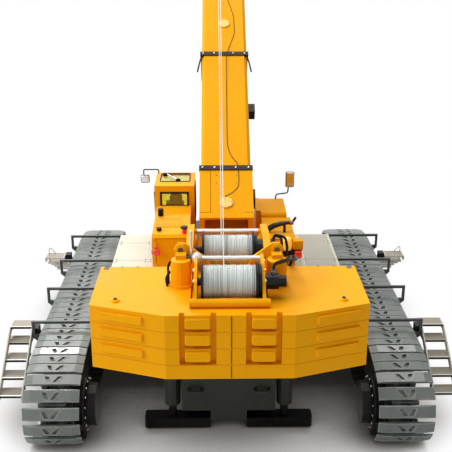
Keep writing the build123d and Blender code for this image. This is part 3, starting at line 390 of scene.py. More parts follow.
finishes = {
    "yellow_paint": paint("yellow_enamel", (0.93, 0.40, 0.004), (0.90, 0.375, 0.003), (0.95, 0.42, 0.005),
                          0.5,
                          mirror=0.14, tint=(1.0, 0.6, 0.1)),
    "grey_paint": paint("chassis_enamel", (0.022, 0.028, 0.023), (0.017, 0.022, 0.018),
                        (0.028, 0.035, 0.029), 0.5,
                        mirror=0.3),
    # The shoes' lighter edge colour is a painted highlight on their bevelled corners
    "track_grey": paint("shoe_enamel", (0.140, 0.158, 0.146), (0.115, 0.132, 0.122), (0.165, 0.184, 0.171),
                        0.24,
                        edge=(0.36, 0.38, 0.36), mirror=0.55),
    "bar_grey": paint("bar_enamel", (0.045, 0.050, 0.046), (0.036, 0.040, 0.037), (0.056, 0.062, 0.057),
                      0.4),
    "deck_grey": paint("deck_enamel", (0.60, 0.57, 0.49), (0.54, 0.51, 0.44), (0.66, 0.63, 0.56), 0.45),
    "black_paint": paint("black_enamel", (0.006, 0.006, 0.007), (0.004, 0.004, 0.005),
                         (0.009, 0.009, 0.010), 0.3,
                         mirror=0.18),
    "dark_steel": paint("dark_steel", (0.10, 0.105, 0.11), (0.07, 0.075, 0.08), (0.14, 0.145, 0.15), 0.38,
                        metallic=0.8),
    "bare_metal": paint("etched_metal", (0.60, 0.58, 0.50), (0.52, 0.50, 0.43), (0.70, 0.68, 0.60), 0.42,
                        metallic=0.5),
    "rope_steel": rope("wound_line", (0.55, 0.58, 0.56), (0.22, 0.24, 0.24)),
    "chrome": paint("polished_rod", (0.75, 0.75, 0.77), (0.70, 0.70, 0.72), (0.80, 0.80, 0.82), 0.12,
                    metallic=1.0),
    "seat_black": paint("seat_plastic", (0.010, 0.010, 0.011), (0.008, 0.008, 0.009), (0.014, 0.014, 0.015),
                        0.6,
                        mirror=0.2),
    "tinted_glass": windowGlass("cab_pane", (0.90, 0.84, 0.22), 0.9),
    "lamp_lens": lampGlass("red_lens", (0.72, 0.015, 0.012), 0.25),
    "amber_lens": lampGlass("amber_lens", (1.0, 0.52, 0.03), 0.45),
    "bronze": paint("bronze_enamel", (0.30, 0.13, 0.02), (0.20, 0.08, 0.012), (0.42, 0.20, 0.04), 0.4, 0.2),
    "cover_pale": paint("cover_enamel", (0.95, 0.56, 0.06), (0.92, 0.52, 0.05), (0.97, 0.60, 0.08), 0.3),
    "seam_dark": paint("seam_shadow", (0.22, 0.075, 0.003), (0.18, 0.06, 0.002), (0.27, 0.09, 0.004), 0.6,
                       mirror=0.1),
    "exhaust_black": paint("exhaust_black", (0.012, 0.009, 0.008), (0.008, 0.006, 0.005),
                           (0.02, 0.015, 0.012), 0.2, mirror=0.3),
    "slot_ochre": paint("slot_shadow", (0.62, 0.25, 0.006), (0.56, 0.22, 0.005), (0.68, 0.28, 0.008), 0.6,
                        mirror=0.1),
    "dark_brown": paint("brown_enamel", (0.026, 0.015, 0.010), (0.02, 0.012, 0.008), (0.034, 0.020, 0.014),
                        0.4,
                        mirror=0.15),
    "line_pale": paint("hoist_line", (0.80, 0.78, 0.70), (0.66, 0.64, 0.56), (0.9, 0.88, 0.8), 0.4),
    "white_steel": paint("bright_steel", (0.70, 0.68, 0.63), (0.62, 0.60, 0.55), (0.78, 0.76, 0.71), 0.2,
                         metallic=0.55),
    "tread_grid": plateGrid("tread_plate", (0.30, 0.27, 0.21), (0.05, 0.045, 0.035), 0.0011, 0.5, True),
    "deck_grid": plateGrid("deck_plate", (0.66, 0.63, 0.51), (0.72, 0.69, 0.57), 0.0009, 0.45, False),
    "deck_panel": plateGrid("deck_inset", (0.44, 0.43, 0.35), (0.50, 0.49, 0.40), 0.0009, 0.45, False),
    "deck_line": paint("deck_seam", (0.46, 0.44, 0.37), (0.42, 0.40, 0.34), (0.50, 0.48, 0.41), 0.5),
    "rubber": paint("black_rubber", (0.008, 0.008, 0.008), (0.006, 0.006, 0.006), (0.012, 0.012, 0.012),
                    0.4,
                    mirror=0.12),
}
slotOf = {entry["node"]: entry["material_slot"] for entry in frame["record"]["subparts"]}
# The final drives are set to black rubber: partly their own dark colour, partly painted shade so they merge
# with the shadow under the body
finishOf = {"deck_l": "deck_grid", "deck_r": "deck_grid", "boom_bands": "dark_brown",
            "stairs_l": "deck_grey",
            "stairs_r": "deck_grey", "track_brackets_l": "bar_grey", "track_brackets_r": "bar_grey",
            "final_drives": "rubber", "stair_blocks": "rubber"}
for name, obj in nodes.items():
    obj.data.materials.clear()
    obj.data.materials.append(finishes[finishOf.get(name, slotOf[name])])
print("stage 2: finishes on the frame's nodes")


# Tracks: 72 shoes a side, each on its link, with two slanting slots that point at one another


shoeFacts = {"slotWidth": 1.8, "slotDepth": 1.0, "rim": 0.16, "slotStart": 0.22, "slotEnd": 0.80,
             "shares": ((0.385, 0.435), (0.625, 0.535)), "pinRadius": 0.75, "pinHalf": 5.6,
             "endWidth": 3.4, "endDrop": 0.5,
             "lipWidth": 0.28, "lipRise": 0.16, "lipGap": 0.55}
slopeRad = math.radians(track["slope"])
slopeRun = (track["topZ"] - track["wheelZ"] - track["pin"] * math.cos(slopeRad)) / math.sin(slopeRad)
kneeY = track["half"] + track["pin"] * math.sin(slopeRad) - slopeRun * math.cos(slopeRad)
runs = np.array([track["half"], track["pin"] * (math.pi - slopeRad), slopeRun, kneeY])
halfLoop = runs.sum()


def trackPoint(s, shift):
    # Pin line by distance: bottom, arc round the wheel, slope up, top run; the second half mirrors the first
    s = np.mod(s, 2 * halfLoop)
    t = np.minimum(s, 2 * halfLoop - s)
    ends = np.cumsum(runs)
    turn = -math.pi / 2 + (t - ends[0]) / track["pin"]
    parts = [t < ends[0], t < ends[1], t < ends[2]]
    y = np.select(parts, [t, track["half"] + track["pin"] * np.cos(turn),
                          track["half"] + track["pin"] * math.sin(slopeRad)
                          - (t - ends[1]) * math.cos(slopeRad)],
                  kneeY - (t - ends[2]))
    z = np.select(parts, [0 * t + track["wheelZ"] - track["pin"],
                          track["wheelZ"] + track["pin"] * np.sin(turn),
                          track["wheelZ"] + track["pin"] * math.cos(slopeRad)
                          + (t - ends[1]) * math.sin(slopeRad)],
                  track["topZ"])
    out = np.select(parts, [0 * t - math.pi / 2, turn, 0 * t + math.pi / 2 - slopeRad], math.pi / 2)
    y = y + shift * np.cos(out)
    z = z + shift * np.sin(out)
    return track["middle"] + np.where(s <= halfLoop, y, -y), z


def shoeShape(length, side):
    # One shoe as (across, along, out) points: a bevelled plate with drooping ends and two slanting slots
    half, rim, thick = track["width"] / 2, shoeFacts["rim"], track["thick"]
    rows = np.array([rim, length * shoeFacts["slotStart"], length * shoeFacts["slotEnd"], length - rim])
    share = np.clip((rows / length - shoeFacts["slotStart"]) / (shoeFacts["slotEnd"]
                                                                - shoeFacts["slotStart"]), 0, 1)
    centres = [(a + (b - a) * share - 0.5) * track["width"] * side for a, b in shoeFacts["shares"]]
    centres = centres if side > 0 else centres[::-1]
    bend = half - shoeFacts["endWidth"]
    columns = np.stack([0 * rows - half + rim, 0 * rows - bend, centres[0] - shoeFacts["slotWidth"] / 2,
                        centres[0] + shoeFacts["slotWidth"] / 2, centres[1] - shoeFacts["slotWidth"] / 2,
                        centres[1] + shoeFacts["slotWidth"] / 2, 0 * rows + bend, 0 * rows + half - rim],
                       -1)
    heights = np.full((4, 8), thick)
    heights[:, [0, 7]] -= shoeFacts["endDrop"]
    top = np.stack([columns, np.repeat(rows[:, None], 8, 1), heights], -1).reshape(-1, 3)
    floor = top[[10, 11, 19, 18, 12, 13, 21, 20]] - np.array([0, 0, shoeFacts["slotDepth"]])
    ring = [[-half, 0, -shoeFacts["endDrop"]], [-bend, 0, 0], [bend, 0, 0],
            [half, 0, -shoeFacts["endDrop"]]]
    ring += [[a, length, z] for a, y, z in ring[::-1]]
    rimRing = np.array([[a, b, thick - rim + z] for a, b, z in ring])
    base = np.array([[a, b, 0.0] for a, b, z in ring])
    faces = [[r * 8 + c, r * 8 + c + 1, r * 8 + c + 9, r * 8 + c + 8] for r in range(3) for c in range(7)
             if not (r == 1 and c in (2, 4))]
    for start, corners in ((32, (10, 11, 19, 18)), (36, (12, 13, 21, 20))):
        faces.append([start + k for k in range(4)])
        faces.extend([corners[k], corners[(k + 1) % 4], start + (k + 1) % 4, start + k] for k in range(4))
    faces.extend([[40, 41, 1, 0], [41, 42, 6, 5, 4, 3, 2, 1], [42, 43, 7, 6], [43, 44, 31, 23, 15, 7],
                  [44, 45, 30, 31], [45, 46, 25, 26, 27, 28, 29, 30], [46, 47, 24, 25],
                  [47, 40, 0, 8, 16, 24]])
    faces.extend([48 + k, 48 + (k + 1) % 8, 40 + (k + 1) % 8, 40 + k] for k in range(8))
    faces.append([55, 54, 53, 52, 51, 50, 49, 48])
    return np.concatenate([top, floor, rimRing, base]), faces


def lipShape(length, side, outer):
    # Raised rib beside a slot, on its outer side, leaning the same way
    share = shoeFacts["shares"][outer]
    way = -1 if outer == 0 else 1
    ends = [((a - 0.5) * track["width"] + way * (shoeFacts["slotWidth"] / 2 + shoeFacts["lipGap"])) * side
            for a in share]
    run = (length * shoeFacts["slotStart"], length * shoeFacts["slotEnd"])
    half, top = shoeFacts["lipWidth"] / 2, track["thick"] + shoeFacts["lipRise"]
    ring = [(ends[0] - half, run[0]), (ends[0] + half, run[0]), (ends[1] + half, run[1]),
            (ends[1] - half, run[1])]
    points = np.array([[a, b, z] for z in (track["thick"] - 0.05, top) for a, b in ring])
    return points, [[0, 3, 2, 1], [4, 5, 6, 7], [0, 1, 5, 4], [1, 2, 6, 5], [2, 3, 7, 6], [3, 0, 4, 7]]


def boxShape(low, high):
    low, high = np.asarray(low, dtype=float), np.asarray(high, dtype=float)
    pick = np.array([[0, 0, 0], [1, 0, 0], [1, 1, 0], [0, 1, 0], [0, 0, 1], [1, 0, 1], [1, 1, 1],
                     [0, 1, 1]])
    faces = [[0, 3, 2, 1], [4, 5, 6, 7], [0, 1, 5, 4], [1, 2, 6, 5], [2, 3, 7, 6], [3, 0, 4, 7]]
    return low + pick * (high - low), faces


def repeated(shape, places):
    # The same faces at every place: places holds the shape's points once for each copy
    count, size = places.shape[:2]
    faces = [[k * size + i for i in face] for k in range(count) for face in shape[1]]
    return places.reshape(-1, 3), faces


def trackShapes(side):
    # Shoes, links and pins of one track, set on the chords between the pin line's points
    pitch = 2 * halfLoop / track["count"]
    s = (np.arange(track["count"]) + track["phase"]) * pitch
    y0, z0 = trackPoint(s, track["rise"])
    y1, z1 = trackPoint(s + pitch, track["rise"])
    link = np.hypot(y1 - y0, z1 - z0)
    ay, az = (y1 - y0) / link, (z1 - z0) / link
    length = pitch - track["gap"]

    def onChord(points):
        run = points[None, :, 1] + ((link - length) / 2)[:, None]
        x = np.repeat(points[None, :, 0], len(s), 0) + side * track["centre"]
        y = y0[:, None] + ay[:, None] * run + az[:, None] * points[None, :, 2]
        z = z0[:, None] + az[:, None] * run - ay[:, None] * points[None, :, 2]
        return np.stack([x, y, z], -1)

    shoe = shoeShape(length, -side)
    depth = track["rise"] + track["drop"]
    plates = [boxShape((a, 0.25, -depth), (b, length - 0.25, 0.02)) for a, b in ((-4.6, -2.3), (2.3, 4.6))]
    lug = boxShape((-1.5, 1.2, -depth + 1.0), (1.5, length - 1.2, 0.02))
    turn = np.arange(8) * math.pi / 4
    pinY, pinZ = trackPoint(s, 0.0)
    ends = np.array([-1, 1])[:, None] * shoeFacts["pinHalf"]
    pinX = np.repeat(ends, 8, 1) + side * track["centre"]
    cosT, sinT = np.cos(turn) * shoeFacts["pinRadius"], np.sin(turn) * shoeFacts["pinRadius"]
    pins = np.stack([np.broadcast_to(pinX, (len(s), 2, 8)),
                     pinY[:, None, None] + np.broadcast_to(cosT, (len(s), 2, 8)),
                     pinZ[:, None, None] + np.broadcast_to(sinT, (len(s), 2, 8))],
                    -1).reshape(len(s), 16, 3)
    pinFaces = rings(np.zeros((2, 8, 3)))[1]
    lips = [lipShape(length, -side, outer) for outer in (0, 1)]
    return joined([repeated(shoe, onChord(shoe[0])), repeated(lips[0], onChord(lips[0][0])),
                   repeated(lips[1], onChord(lips[1][0])), repeated(plates[0], onChord(plates[0][0])),
                   repeated(plates[1], onChord(plates[1][0])), repeated(lug, onChord(lug[0])),
                   repeated((None, pinFaces), pins)])


for suffix, side in (("l", -1), ("r", 1)):
    piece("shoes_" + suffix, trackShapes(side), "track_grey", "undercarriage", smooth=0,
          replaces=("track_" + suffix,))
print("stage 3: tracks")


# Undercarriage trim: hub bolts, deck seams, hand rails, foot pads


def boltHead(centre, axis, radius=0.5, height=0.4, sides=6):
    return lathe([(radius, -0.05), (radius, height * 0.7), (radius * 0.75, height)], centre, axis, sides)


hubBolts = [boltHead((side * (track["centre"] + 7.5),
                      track["middle"] + end * track["half"] + 3.2 * math.cos(k * math.pi / 4),
                      track["wheelZ"] + 3.2 * math.sin(k * math.pi / 4)), side * xWay)
            for side in (-1, 1) for end in (-1, 1) for k in range(8)]
piece("hub_bolts", joined(hubBolts), "white_steel", "undercarriage")

driveFlanges, driveBolts = [], []
for side in (-1, 1):
    for end in (-1, 1):
        hub = (side * 60.1, track["middle"] + end * track["half"], track["wheelZ"])
        driveFlanges.append(lathe([(9.0, -4.4), (9.0, -0.6), (12.2, -0.4), (12.2, 0.4), (11.8, 0.6),
                                   (0.01, 0.6)], hub,
                                  -side * xWay, 48))
        for k in range(16):
            spot = np.array([0.0, 10.7 * math.cos(k * math.pi / 8), 10.7 * math.sin(k * math.pi / 8)])
            driveBolts.append(boltHead(np.array(hub) + spot - side * xWay * 0.6, -side * xWay, 0.42, 0.35))
# Black drive flanges: partly their own dark colour, partly painted shade so they merge with the shadow under
# the body
piece("drive_flanges", joined(driveFlanges), "rubber", "undercarriage")
piece("drive_bolts", joined(driveBolts), "white_steel", "undercarriage")

deckSeams = {"rows": (-38.0, -12.5, 12.5, 38.0), "near": 22.6, "far": 59.4, "middle": 41.0}
seams = [boxShape((side * deckSeams["near"], y - 0.16, 41.1), (side * deckSeams["far"], y + 0.16, 41.26))
         if side > 0 else boxShape((-deckSeams["far"], y - 0.16, 41.1),
                                   (-deckSeams["near"], y + 0.16, 41.26))
         for side in (-1, 1) for y in deckSeams["rows"]]
seams += [boxShape((side * deckSeams["middle"] - 0.14, -50.8, 41.1),
                   (side * deckSeams["middle"] + 0.14, 50.8, 41.25))
          for side in (-1, 1)]
piece("deck_seams", joined(seams), "deck_line", "undercarriage", smooth=0)
insets = [boxShape((x0, y0 + 0.5, 41.15), (x1, y1 - 0.5, 41.24)) for x0, x1 in ((42.0, 58.2), (24.0, 40.2))
          for y0, y1 in zip((-50.5, *deckSeams["rows"]), (*deckSeams["rows"], 50.5))]
piece("deck_insets", joined(insets), "deck_panel", "undercarriage", smooth=0)
deckScrews = [lathe([(0.42, -0.05), (0.42, 0.12), (0.2, 0.26)], (side * x, y + dy, 41.2), zWay, 8)
              for side in (-1, 1) for x in (24.2, 39.6, 42.4, 57.8) for y in deckSeams["rows"]
              for dy in (-1.6, 1.6)]
piece("deck_screws", joined(deckScrews), "dark_steel", "undercarriage")

towLoops = [tube(arcPath([(x - 2.8, -83.6, 21.5), (x - 2.8, -86.4, 21.5), (x + 2.8, -86.4, 21.5),
                          (x + 2.8, -83.6, 21.5)], 2.0), 0.8, 10) for x in (-14.3, 14.3)]
piece("tow_loops", joined(towLoops), "grey_paint", "undercarriage")

railPath = [(94.6, 37.0, 35.4), (96.2, 37.0, 37.8), (97.6, 37.0, 39.2), (98.2, 37.0, 38.2),
            (98.2, 37.0, 35.4)]
farRail = tube(arcPath(railPath, 0.9), 0.25, 8)
piece("hand_rails", joined([farRail, mirrored(farRail)]), "bare_metal", "undercarriage")

stairTable = {"middle": -7.0, "near": 89.0, "far": 99.5, "depth": 7.3, "inset": 0.6,
              "treads": ((45.4, 35.5), (51.0, 30.4), (59.2, 26.1), (67.1, 21.7), (74.2, 17.0))}


def treadShapes(grow, low, high):
    # One flat plate on every tread, from low to high above it; grow gives its depth as shares of the tread's
    made = []
    for reach, z in stairTable["treads"]:
        for end in (-1, 1):
            edges = sorted(stairTable["middle"] + end * (reach - stairTable["depth"] * share)
                           for share in grow)
            near, far = stairTable["near"] + stairTable["inset"], stairTable["far"] - stairTable["inset"]
            made.append(boxShape((near, edges[0], z + low), (far, edges[1], z + high)))
    shape = joined(made)
    return joined([shape, mirrored(shape)])


piece("tread_grids", treadShapes((0.09, 0.95), -0.1, 0.08), "tread_grid", "undercarriage",
      smooth=0)
piece("tread_lips", treadShapes((0.0, 0.07), -0.9, 0.22), "bare_metal", "undercarriage",
      smooth=0)
print("stage 4: undercarriage trim")


# Counterweight: seams, lifting handles, dowels and the marks on its front edge


handleTable = {"x": ((-16.6, -7.8), (8.6, 17.0)), "height": 4.3, "corner": 0.9}
grips = []
for name, low, high in slabTable[1:]:
    for x0, x1 in handleTable["x"]:
        grips.append(pad(((x0 + x1) / 2, ballast["rear"] + 0.3, (low + high) / 2), xWay, zWay,
                         x1 - x0 + 0.8,
                         handleTable["height"], handleTable["corner"], 0.75, 0.3, 1.4))
piece("slab_grips", joined(grips), "yellow_paint", "superstructure")
centreSeams = [boxShape((0.3, -114.06, low + 0.3), (0.75, -113.8, high - 0.3))
               for name, low, high in slabTable]
piece("slab_seams", joined(centreSeams), "seam_dark", "superstructure", smooth=0)
dowelPlaces = ((-44.2, -101.0, 71.2), (44.2, -101.0, 71.2))
dowels = [lathe([(1.9, -0.1), (1.6, 0.5), (1.0, 0.95), (0.01, 1.0)], place, zWay, 24)
          for place in dowelPlaces]
piece("slab_dowels", joined(dowels), "yellow_paint", "superstructure")
dowelTops = [lathe([(0.7, 0.9), (0.7, 1.3), (0.5, 1.45), (0.01, 1.45)], place, zWay, 16)
             for place in dowelPlaces]
piece("slab_dowel_tops", joined(dowelTops), "dark_brown", "superstructure")
rimLine = [(-ballast["half"], -76.0), (-ballast["half"], ballast["shoulder"]),
           (-ballast["flat"], ballast["rear"]),
           (ballast["flat"], ballast["rear"]), (ballast["half"], ballast["shoulder"]),
           (ballast["half"], -76.0)]
slabJoints = [tube([(x, y, low) for x, y in rimLine], 0.11, 6) for name, low, high in slabTable[1:]]
piece("slab_joints", joined(slabJoints), "slot_ochre", "superstructure", smooth=0)
frontMarks = [boxShape((x - 0.5, -67.3, 71.15), (x + 0.5, -66.9, 71.4)) for x in (-45.0, -38.4, 38.4, 45.0)]
piece("slab_catches", joined(frontMarks), "bronze", "superstructure", smooth=0)


# Winches: rope wound on both drums, guide bar fittings, bolts and hydraulic lines


drumFacts = {"radius": 6.5, "half": 10.2, "flange": 8.0, "thick": 0.8, "turns": 30, "hub": 1.6,
             "hubEnd": -14.3}


def drumShape(y, z):
    # Wound drum: the profile has one small arc for each turn of rope, between two flanges
    t = np.linspace(0, drumFacts["turns"], drumFacts["turns"] * 6 + 1)
    x = -drumFacts["half"] + t / drumFacts["turns"] * 2 * drumFacts["half"]
    uneven = 0.10 * np.sin(x * 1.7) * np.sin(x * 0.6)
    radius = drumFacts["radius"] - 0.28 + 0.28 * np.abs(np.sin(t * math.pi)) + uneven
    wound = np.stack([radius, x], -1)
    edge, far = drumFacts["half"], drumFacts["half"] + drumFacts["thick"]
    rim = drumFacts["flange"]
    left = [(0.01, drumFacts["hubEnd"]), (drumFacts["hub"], drumFacts["hubEnd"]), (drumFacts["hub"], -far),
            (rim - 0.1, -far), (rim, -far + 0.1), (rim, -edge - 0.1), (rim - 0.1, -edge)]
    right = [(rim - 0.1, edge), (rim, edge + 0.1), (rim, far - 0.1), (rim - 0.1, far), (0.01, far)]
    return lathe(wound, (0, y, z), xWay,
                 48), joined([lathe(left, (0, y, z), xWay, 40), lathe(right, (0, y, z), xWay, 40)])


for name, y, z in winchTable:
    wound, flanges = drumShape(y, z)
    body = name + "_winch"
    piece("wound_rope_" + name, wound, "rope_steel", body, smooth=60,
          replaces=("winch_drum_" + name,))
    piece("drum_flanges_" + name, flanges, "black_paint", body,
          replaces=("winch_drum_" + name,))

guide = {"y": -84.0, "z": 82.0}
ballPlace = (-12.9, -86.6, 83.4)
turn = np.linspace(-math.pi / 2, math.pi / 2, 17)
ballShape = lathe(np.stack([2.1 * np.cos(turn), 2.1 * np.sin(turn)], -1), ballPlace, zWay, 32)
smallBall = lathe(np.stack([0.9 * np.cos(turn), 0.9 * np.sin(turn)], -1), (-15.9, -86.2, 80.6), zWay, 20)
sleeve = tube([(-13.0, guide["y"], guide["z"]), (13.6, guide["y"], guide["z"])], 1.02, 24)
piece("guide_sleeve", joined([sleeve, ballShape, smallBall]), "white_steel", "superstructure",
      smooth=50)
piece("guide_block", pad((-16.4, -83.4, 81.6), xWay, zWay, 3.0, 3.6, 0.5, 2.2), "dark_steel",
      "superstructure")
rodShape = tube([(-15.2, -83.6, 83.0), (-15.2, -83.6, 93.6)], 0.6, 12)
crossBar = tube([(-13.4, -50.0, 80.9), (13.4, -50.0, 80.9)], 1.08, 20)
piece("lever_rod", joined([rodShape, crossBar]), "white_steel", "superstructure")
motorCovers = [lathe([(r - 0.3, 0.0), (r, 0.3), (r, 1.1), (r - 0.3, 1.35), (2.0, 1.35)], (11.05, y, 78.0),
                     xWay, 40)
               for y, r in ((-98.0, 6.9), (-65.0, 6.4))]
piece("motor_covers", joined(motorCovers), "black_paint", "superstructure")
ports = [lathe([(1.1, 0), (1.1, 1.6), (0.8, 1.8), (0.8, 2.6)], place, way, 6)
         for place, way in (((17.0, -98.0, 80.6), zWay), ((17.0, -96.0, 80.2), zWay + 0.5 * yWay),
                            ((19.2, -65.0, 80.2), zWay), ((19.2, -63.4, 79.8), zWay + 0.5 * yWay))]
piece("motor_ports", joined(ports), "dark_steel", "superstructure")
hoseTable = [
    [(17.0, -98.0, 82.6), (17.2, -97.4, 85.0), (22.0, -92.0, 84.6), (27.6, -82.0, 80.4),
     (28.0, -66.4, 76.0), (24.2, -62.0, 62.0)],
    [(17.0, -95.6, 82.0), (17.8, -94.0, 83.6), (23.4, -88.0, 82.4), (26.0, -76.0, 78.4),
     (26.0, -64.0, 74.4), (22.6, -61.6, 62.0)],
    [(19.2, -65.0, 82.4), (19.6, -64.2, 84.4), (24.6, -60.0, 82.0), (26.6, -52.0, 73.0),
     (25.0, -44.0, 62.0)],
    [(19.2, -62.4, 81.6), (20.2, -61.0, 82.8), (23.4, -55.6, 80.0), (24.4, -48.0, 72.0),
     (23.4, -42.0, 62.0)],
]
motorLines = [tube(arcPath(path, 4.0, 8), 0.6, 10) for path in hoseTable]
piece("motor_lines", joined(motorLines), "rubber", "superstructure", smooth=50)
ramLines = [tube(arcPath([(-24.4, -84.6, 71.2), (-24.6, -83.5, 79.0), (-22.4, -83.4, 81.6)], 2.0), 0.5, 8),
            tube(arcPath([(-24.8, -86.8, 71.2), (-25.4, -86.4, 74.6), (-23.6, -86.0, 77.2)], 2.0), 0.5, 8)]
piece("ram_lines", joined(ramLines), "rubber", "superstructure", smooth=50)

frameBolts = [boltHead((side * 13.7, y, z), side * xWay, 0.7, 0.5)
              for side in (-1, 1)
              for y, z in ((-104.6, 73.2), (-100.4, 79.2), (-95.4, 81.6), (-88.0, 82.4))]
frameBolts += [boltHead((side * 17.6, y, z), side * xWay, 0.7, 0.5)
               for side in (-1, 1) for y, z in ((-63.0, 74.0), (-56.0, 56.0), (-40.0, 54.0), (-20.0, 52.0))]
piece("winch_bolts", joined(frameBolts), "white_steel", "superstructure")
lugCaps = [lathe([(2.5, -0.75), (2.5, 0.55), (2.2, 0.75), (1.2, 0.75), (1.1, 0.0), (0.01, 0.0)],
                 (side * 19.4, -82.0, 84.9), -yWay, 24) for side in (-1, 1)]
ramCaps = [lathe([(3.9, -0.1), (3.9, 0.35), (3.5, 0.5), (0.01, 0.5)], (side * 19.2, -86.0, 82.0), zWay, 32)
           for side in (-1, 1)]
piece("ram_caps", joined(lugCaps + ramCaps), "yellow_paint", "superstructure")
eyes = [lathe([(1.15, 0.0), (1.15, 0.2), (0.01, 0.2)], (side * 19.4, -82.5, 84.9), -yWay, 20)
        for side in (-1, 1)]
piece("lug_eyes", joined(eyes), "dark_steel", "superstructure")


# Housings: louvres, doors, hinges, handles and roof edges


def doorFrame(corner, across, up, width, height, line=0.22, rise=0.08):
    # Door gap drawn as four thin strips round a rectangle that stands on a plane
    across, up = unit(across), unit(up)
    out = np.cross(across, up)
    corner = np.asarray(corner, dtype=float)
    strips = []
    for a0, a1, b0, b1 in ((0, width, 0, line), (0, width, height - line, height), (0, line, 0, height),
                           (width - line, width, 0, height)):
        centre = corner + across * (a0 + a1) / 2 + up * (b0 + b1) / 2
        strips.append(pad(centre, across, up, a1 - a0, b1 - b0, 0.02, rise, 0.02, 0.1, 1))
    return joined(strips)


louvre = {"left": -35.2, "right": -21.6, "near": -12.6, "far": 0.6, "pitch": 1.15, "slope": 1.2 / 41.0}


def onRoof(shape):
    # The left housing's roof rises evenly towards the front, so height grows with the distance along it
    points = np.array(shape[0], dtype=float)
    points[:, 2] += 68.9 + (points[:, 1] + 23.0) * louvre["slope"]
    return points, shape[1]


piece("roof_cover",
      onRoof(boxShape((louvre["left"], louvre["near"], -0.1), (louvre["right"], louvre["far"], 0.22))),
      "yellow_paint", "superstructure", smooth=0)
marks = [onRoof(boxShape((x - 0.26, row - 2.3, 0.15), (x + 0.26, row + 2.3, 0.27)))
         for row in (-9.6, -3.0)
         for x in np.arange(louvre["left"] + 1.0, louvre["right"] - 0.4, louvre["pitch"])]
piece("roof_marks", joined(marks), "slot_ochre", "superstructure", smooth=0)
doorTable = [
    ((-35.8, 17.0, 50.4), -yWay, zWay, 11.0, 17.4), ((-35.8, 5.4, 50.4), -yWay, zWay, 13.0, 17.4),
    ((-35.8, -8.2, 50.4), -yWay, zWay, 13.4, 17.0), ((31.0, 6.0, 50.6), yWay, zWay, 11.4, 17.6),
    ((31.0, 18.0, 50.6), yWay, zWay, 11.0, 17.6), ((32.7, -21.0, 50.6), yWay, zWay, 12.0, 15.4),
    ((-34.0, -23.0, 50.4), xWay, zWay, 14.4, 16.8), ((19.4, -22.0, 50.6), xWay, zWay, 12.0, 15.6),
]
piece("door_gaps", joined([doorFrame(*facts) for facts in doorTable]), "seam_dark", "superstructure",
      smooth=0)
hinges, latches = [], []
for corner, across, up, width, height in doorTable:
    out = np.cross(across, up)
    for share in (0.18, 0.82):
        place = np.asarray(corner) + np.asarray(up) * height * share + out * 0.25
        hinges.append(tube([place - np.asarray(up) * 1.1, place + np.asarray(up) * 1.1], 0.42, 8))
    latches.append(pad(np.asarray(corner) + np.asarray(across) * (width - 1.6)
                       + np.asarray(up) * height * 0.5, across, up,
                       1.1, 2.4, 0.4, 0.5))
piece("door_hinges", joined(hinges), "yellow_paint", "superstructure")
piece("door_latches", joined(latches), "black_paint", "superstructure")


# Cab: seals round the panes, wipers, guards, inside fittings


def seal(path, width, closed=True):
    # Rubber strip: a thin rod along the edge of a pane
    corners = [np.asarray(p, dtype=float) for p in path]
    if closed:
        start = (corners[0] + corners[1]) / 2
        corners = [start] + corners[1:] + [corners[0], start]
    return tube(arcPath(corners, 1.4, 5), width, 6)


cab = {"left": -37.0, "right": -16.3, "middle": -26.65}
roofPane = [(cab["middle"] - 7.8, 25.5, 80.8), (cab["middle"] + 7.8, 25.5, 80.8),
            (cab["middle"] + 7.8, 40.5, 80.8),
            (cab["middle"] - 7.8, 40.5, 80.8)]
sidePane = [(23, 56), (23, 77), (41, 77), (47, 63.5), (46, 56)]
seals = [seal(roofPane, 0.32),
         doorFrame((cab["middle"] - 7.5, 17.9, 69.3), xWay, zWay, 15.0, 8.2, 0.95, 0.35)]
for x in (cab["left"] - 0.05, cab["right"] + 0.05):
    seals.append(seal([(x, y, z) for y, z in sidePane], 0.3))
piece("cab_seals", joined(seals), "seat_black", "superstructure", smooth=50)
wipers = [tube([(-31.0, 36.5, 81.35), (-25.4, 27.4, 81.35)], 0.42, 8)]
piece("cab_wipers", joined(wipers), "white_steel", "superstructure")
piece("wiper_knobs", joined([lathe([(1.3, -0.4), (1.3, 0.7), (0.9, 1.1), (0.01, 1.1)], place, zWay, 20)
                             for place in ((-32.2, 37.4, 80.9), (-25.0, 26.8, 80.9))]), "rubber",
      "superstructure")
console = [boxShape((-33.6, 34.0, 47.2), (-31.4, 44.0, 56.0)),
           boxShape((-21.8, 34.0, 47.2), (-19.6, 44.0, 56.0)),
           boxShape((-31.0, 49.0, 52.0), (-22.4, 50.6, 57.0)),
           tube([(-32.5, 41.0, 56.0), (-32.5, 41.6, 59.4)], 0.4, 8),
           tube([(-20.7, 41.0, 56.0), (-20.7, 41.6, 59.4)], 0.4, 8),
           pad((-26.2, 25.4, 71.6), xWay, zWay, 6.6, 5.6, 2.2, 1.6, 0.5, 1.2)]
piece("cab_inside", joined(console), "seat_black", "superstructure")
cabDoor = [doorFrame((cab["left"], 45.8, 49.2), -yWay, zWay, 24.0, 28.8)]
cabDoor.append(pad((cab["left"], 24.2, 54.0), -yWay, zWay, 1.2, 3.2, 0.4, 0.7))
piece("cab_door_gap", joined(cabDoor), "seam_dark", "superstructure", smooth=0)
cabRail = [tube(arcPath([(-37.2, 47.6, 56.0), (-39.0, 47.6, 56.0), (-39.0, 43.0, 70.0),
                         (-37.2, 43.0, 70.0)], 0.9), 0.35, 8)]
piece("cab_grab_rail", joined(cabRail), "black_paint", "superstructure")
stalks = [tube(arcPath([(26.9, 28.4, 70.0), (27.2, 28.4, 72.6), (33.4, 28.4, 73.4), (33.7, 28.4, 76.8)],
                       1.0), 0.36, 10),
          tube(arcPath([(-36.2, 42.4, 80.6), (-36.2, 42.4, 82.6), (-44.4, 42.4, 82.6), (-44.4, 42.4, 79.2)],
                       0.8), 0.34, 10)]
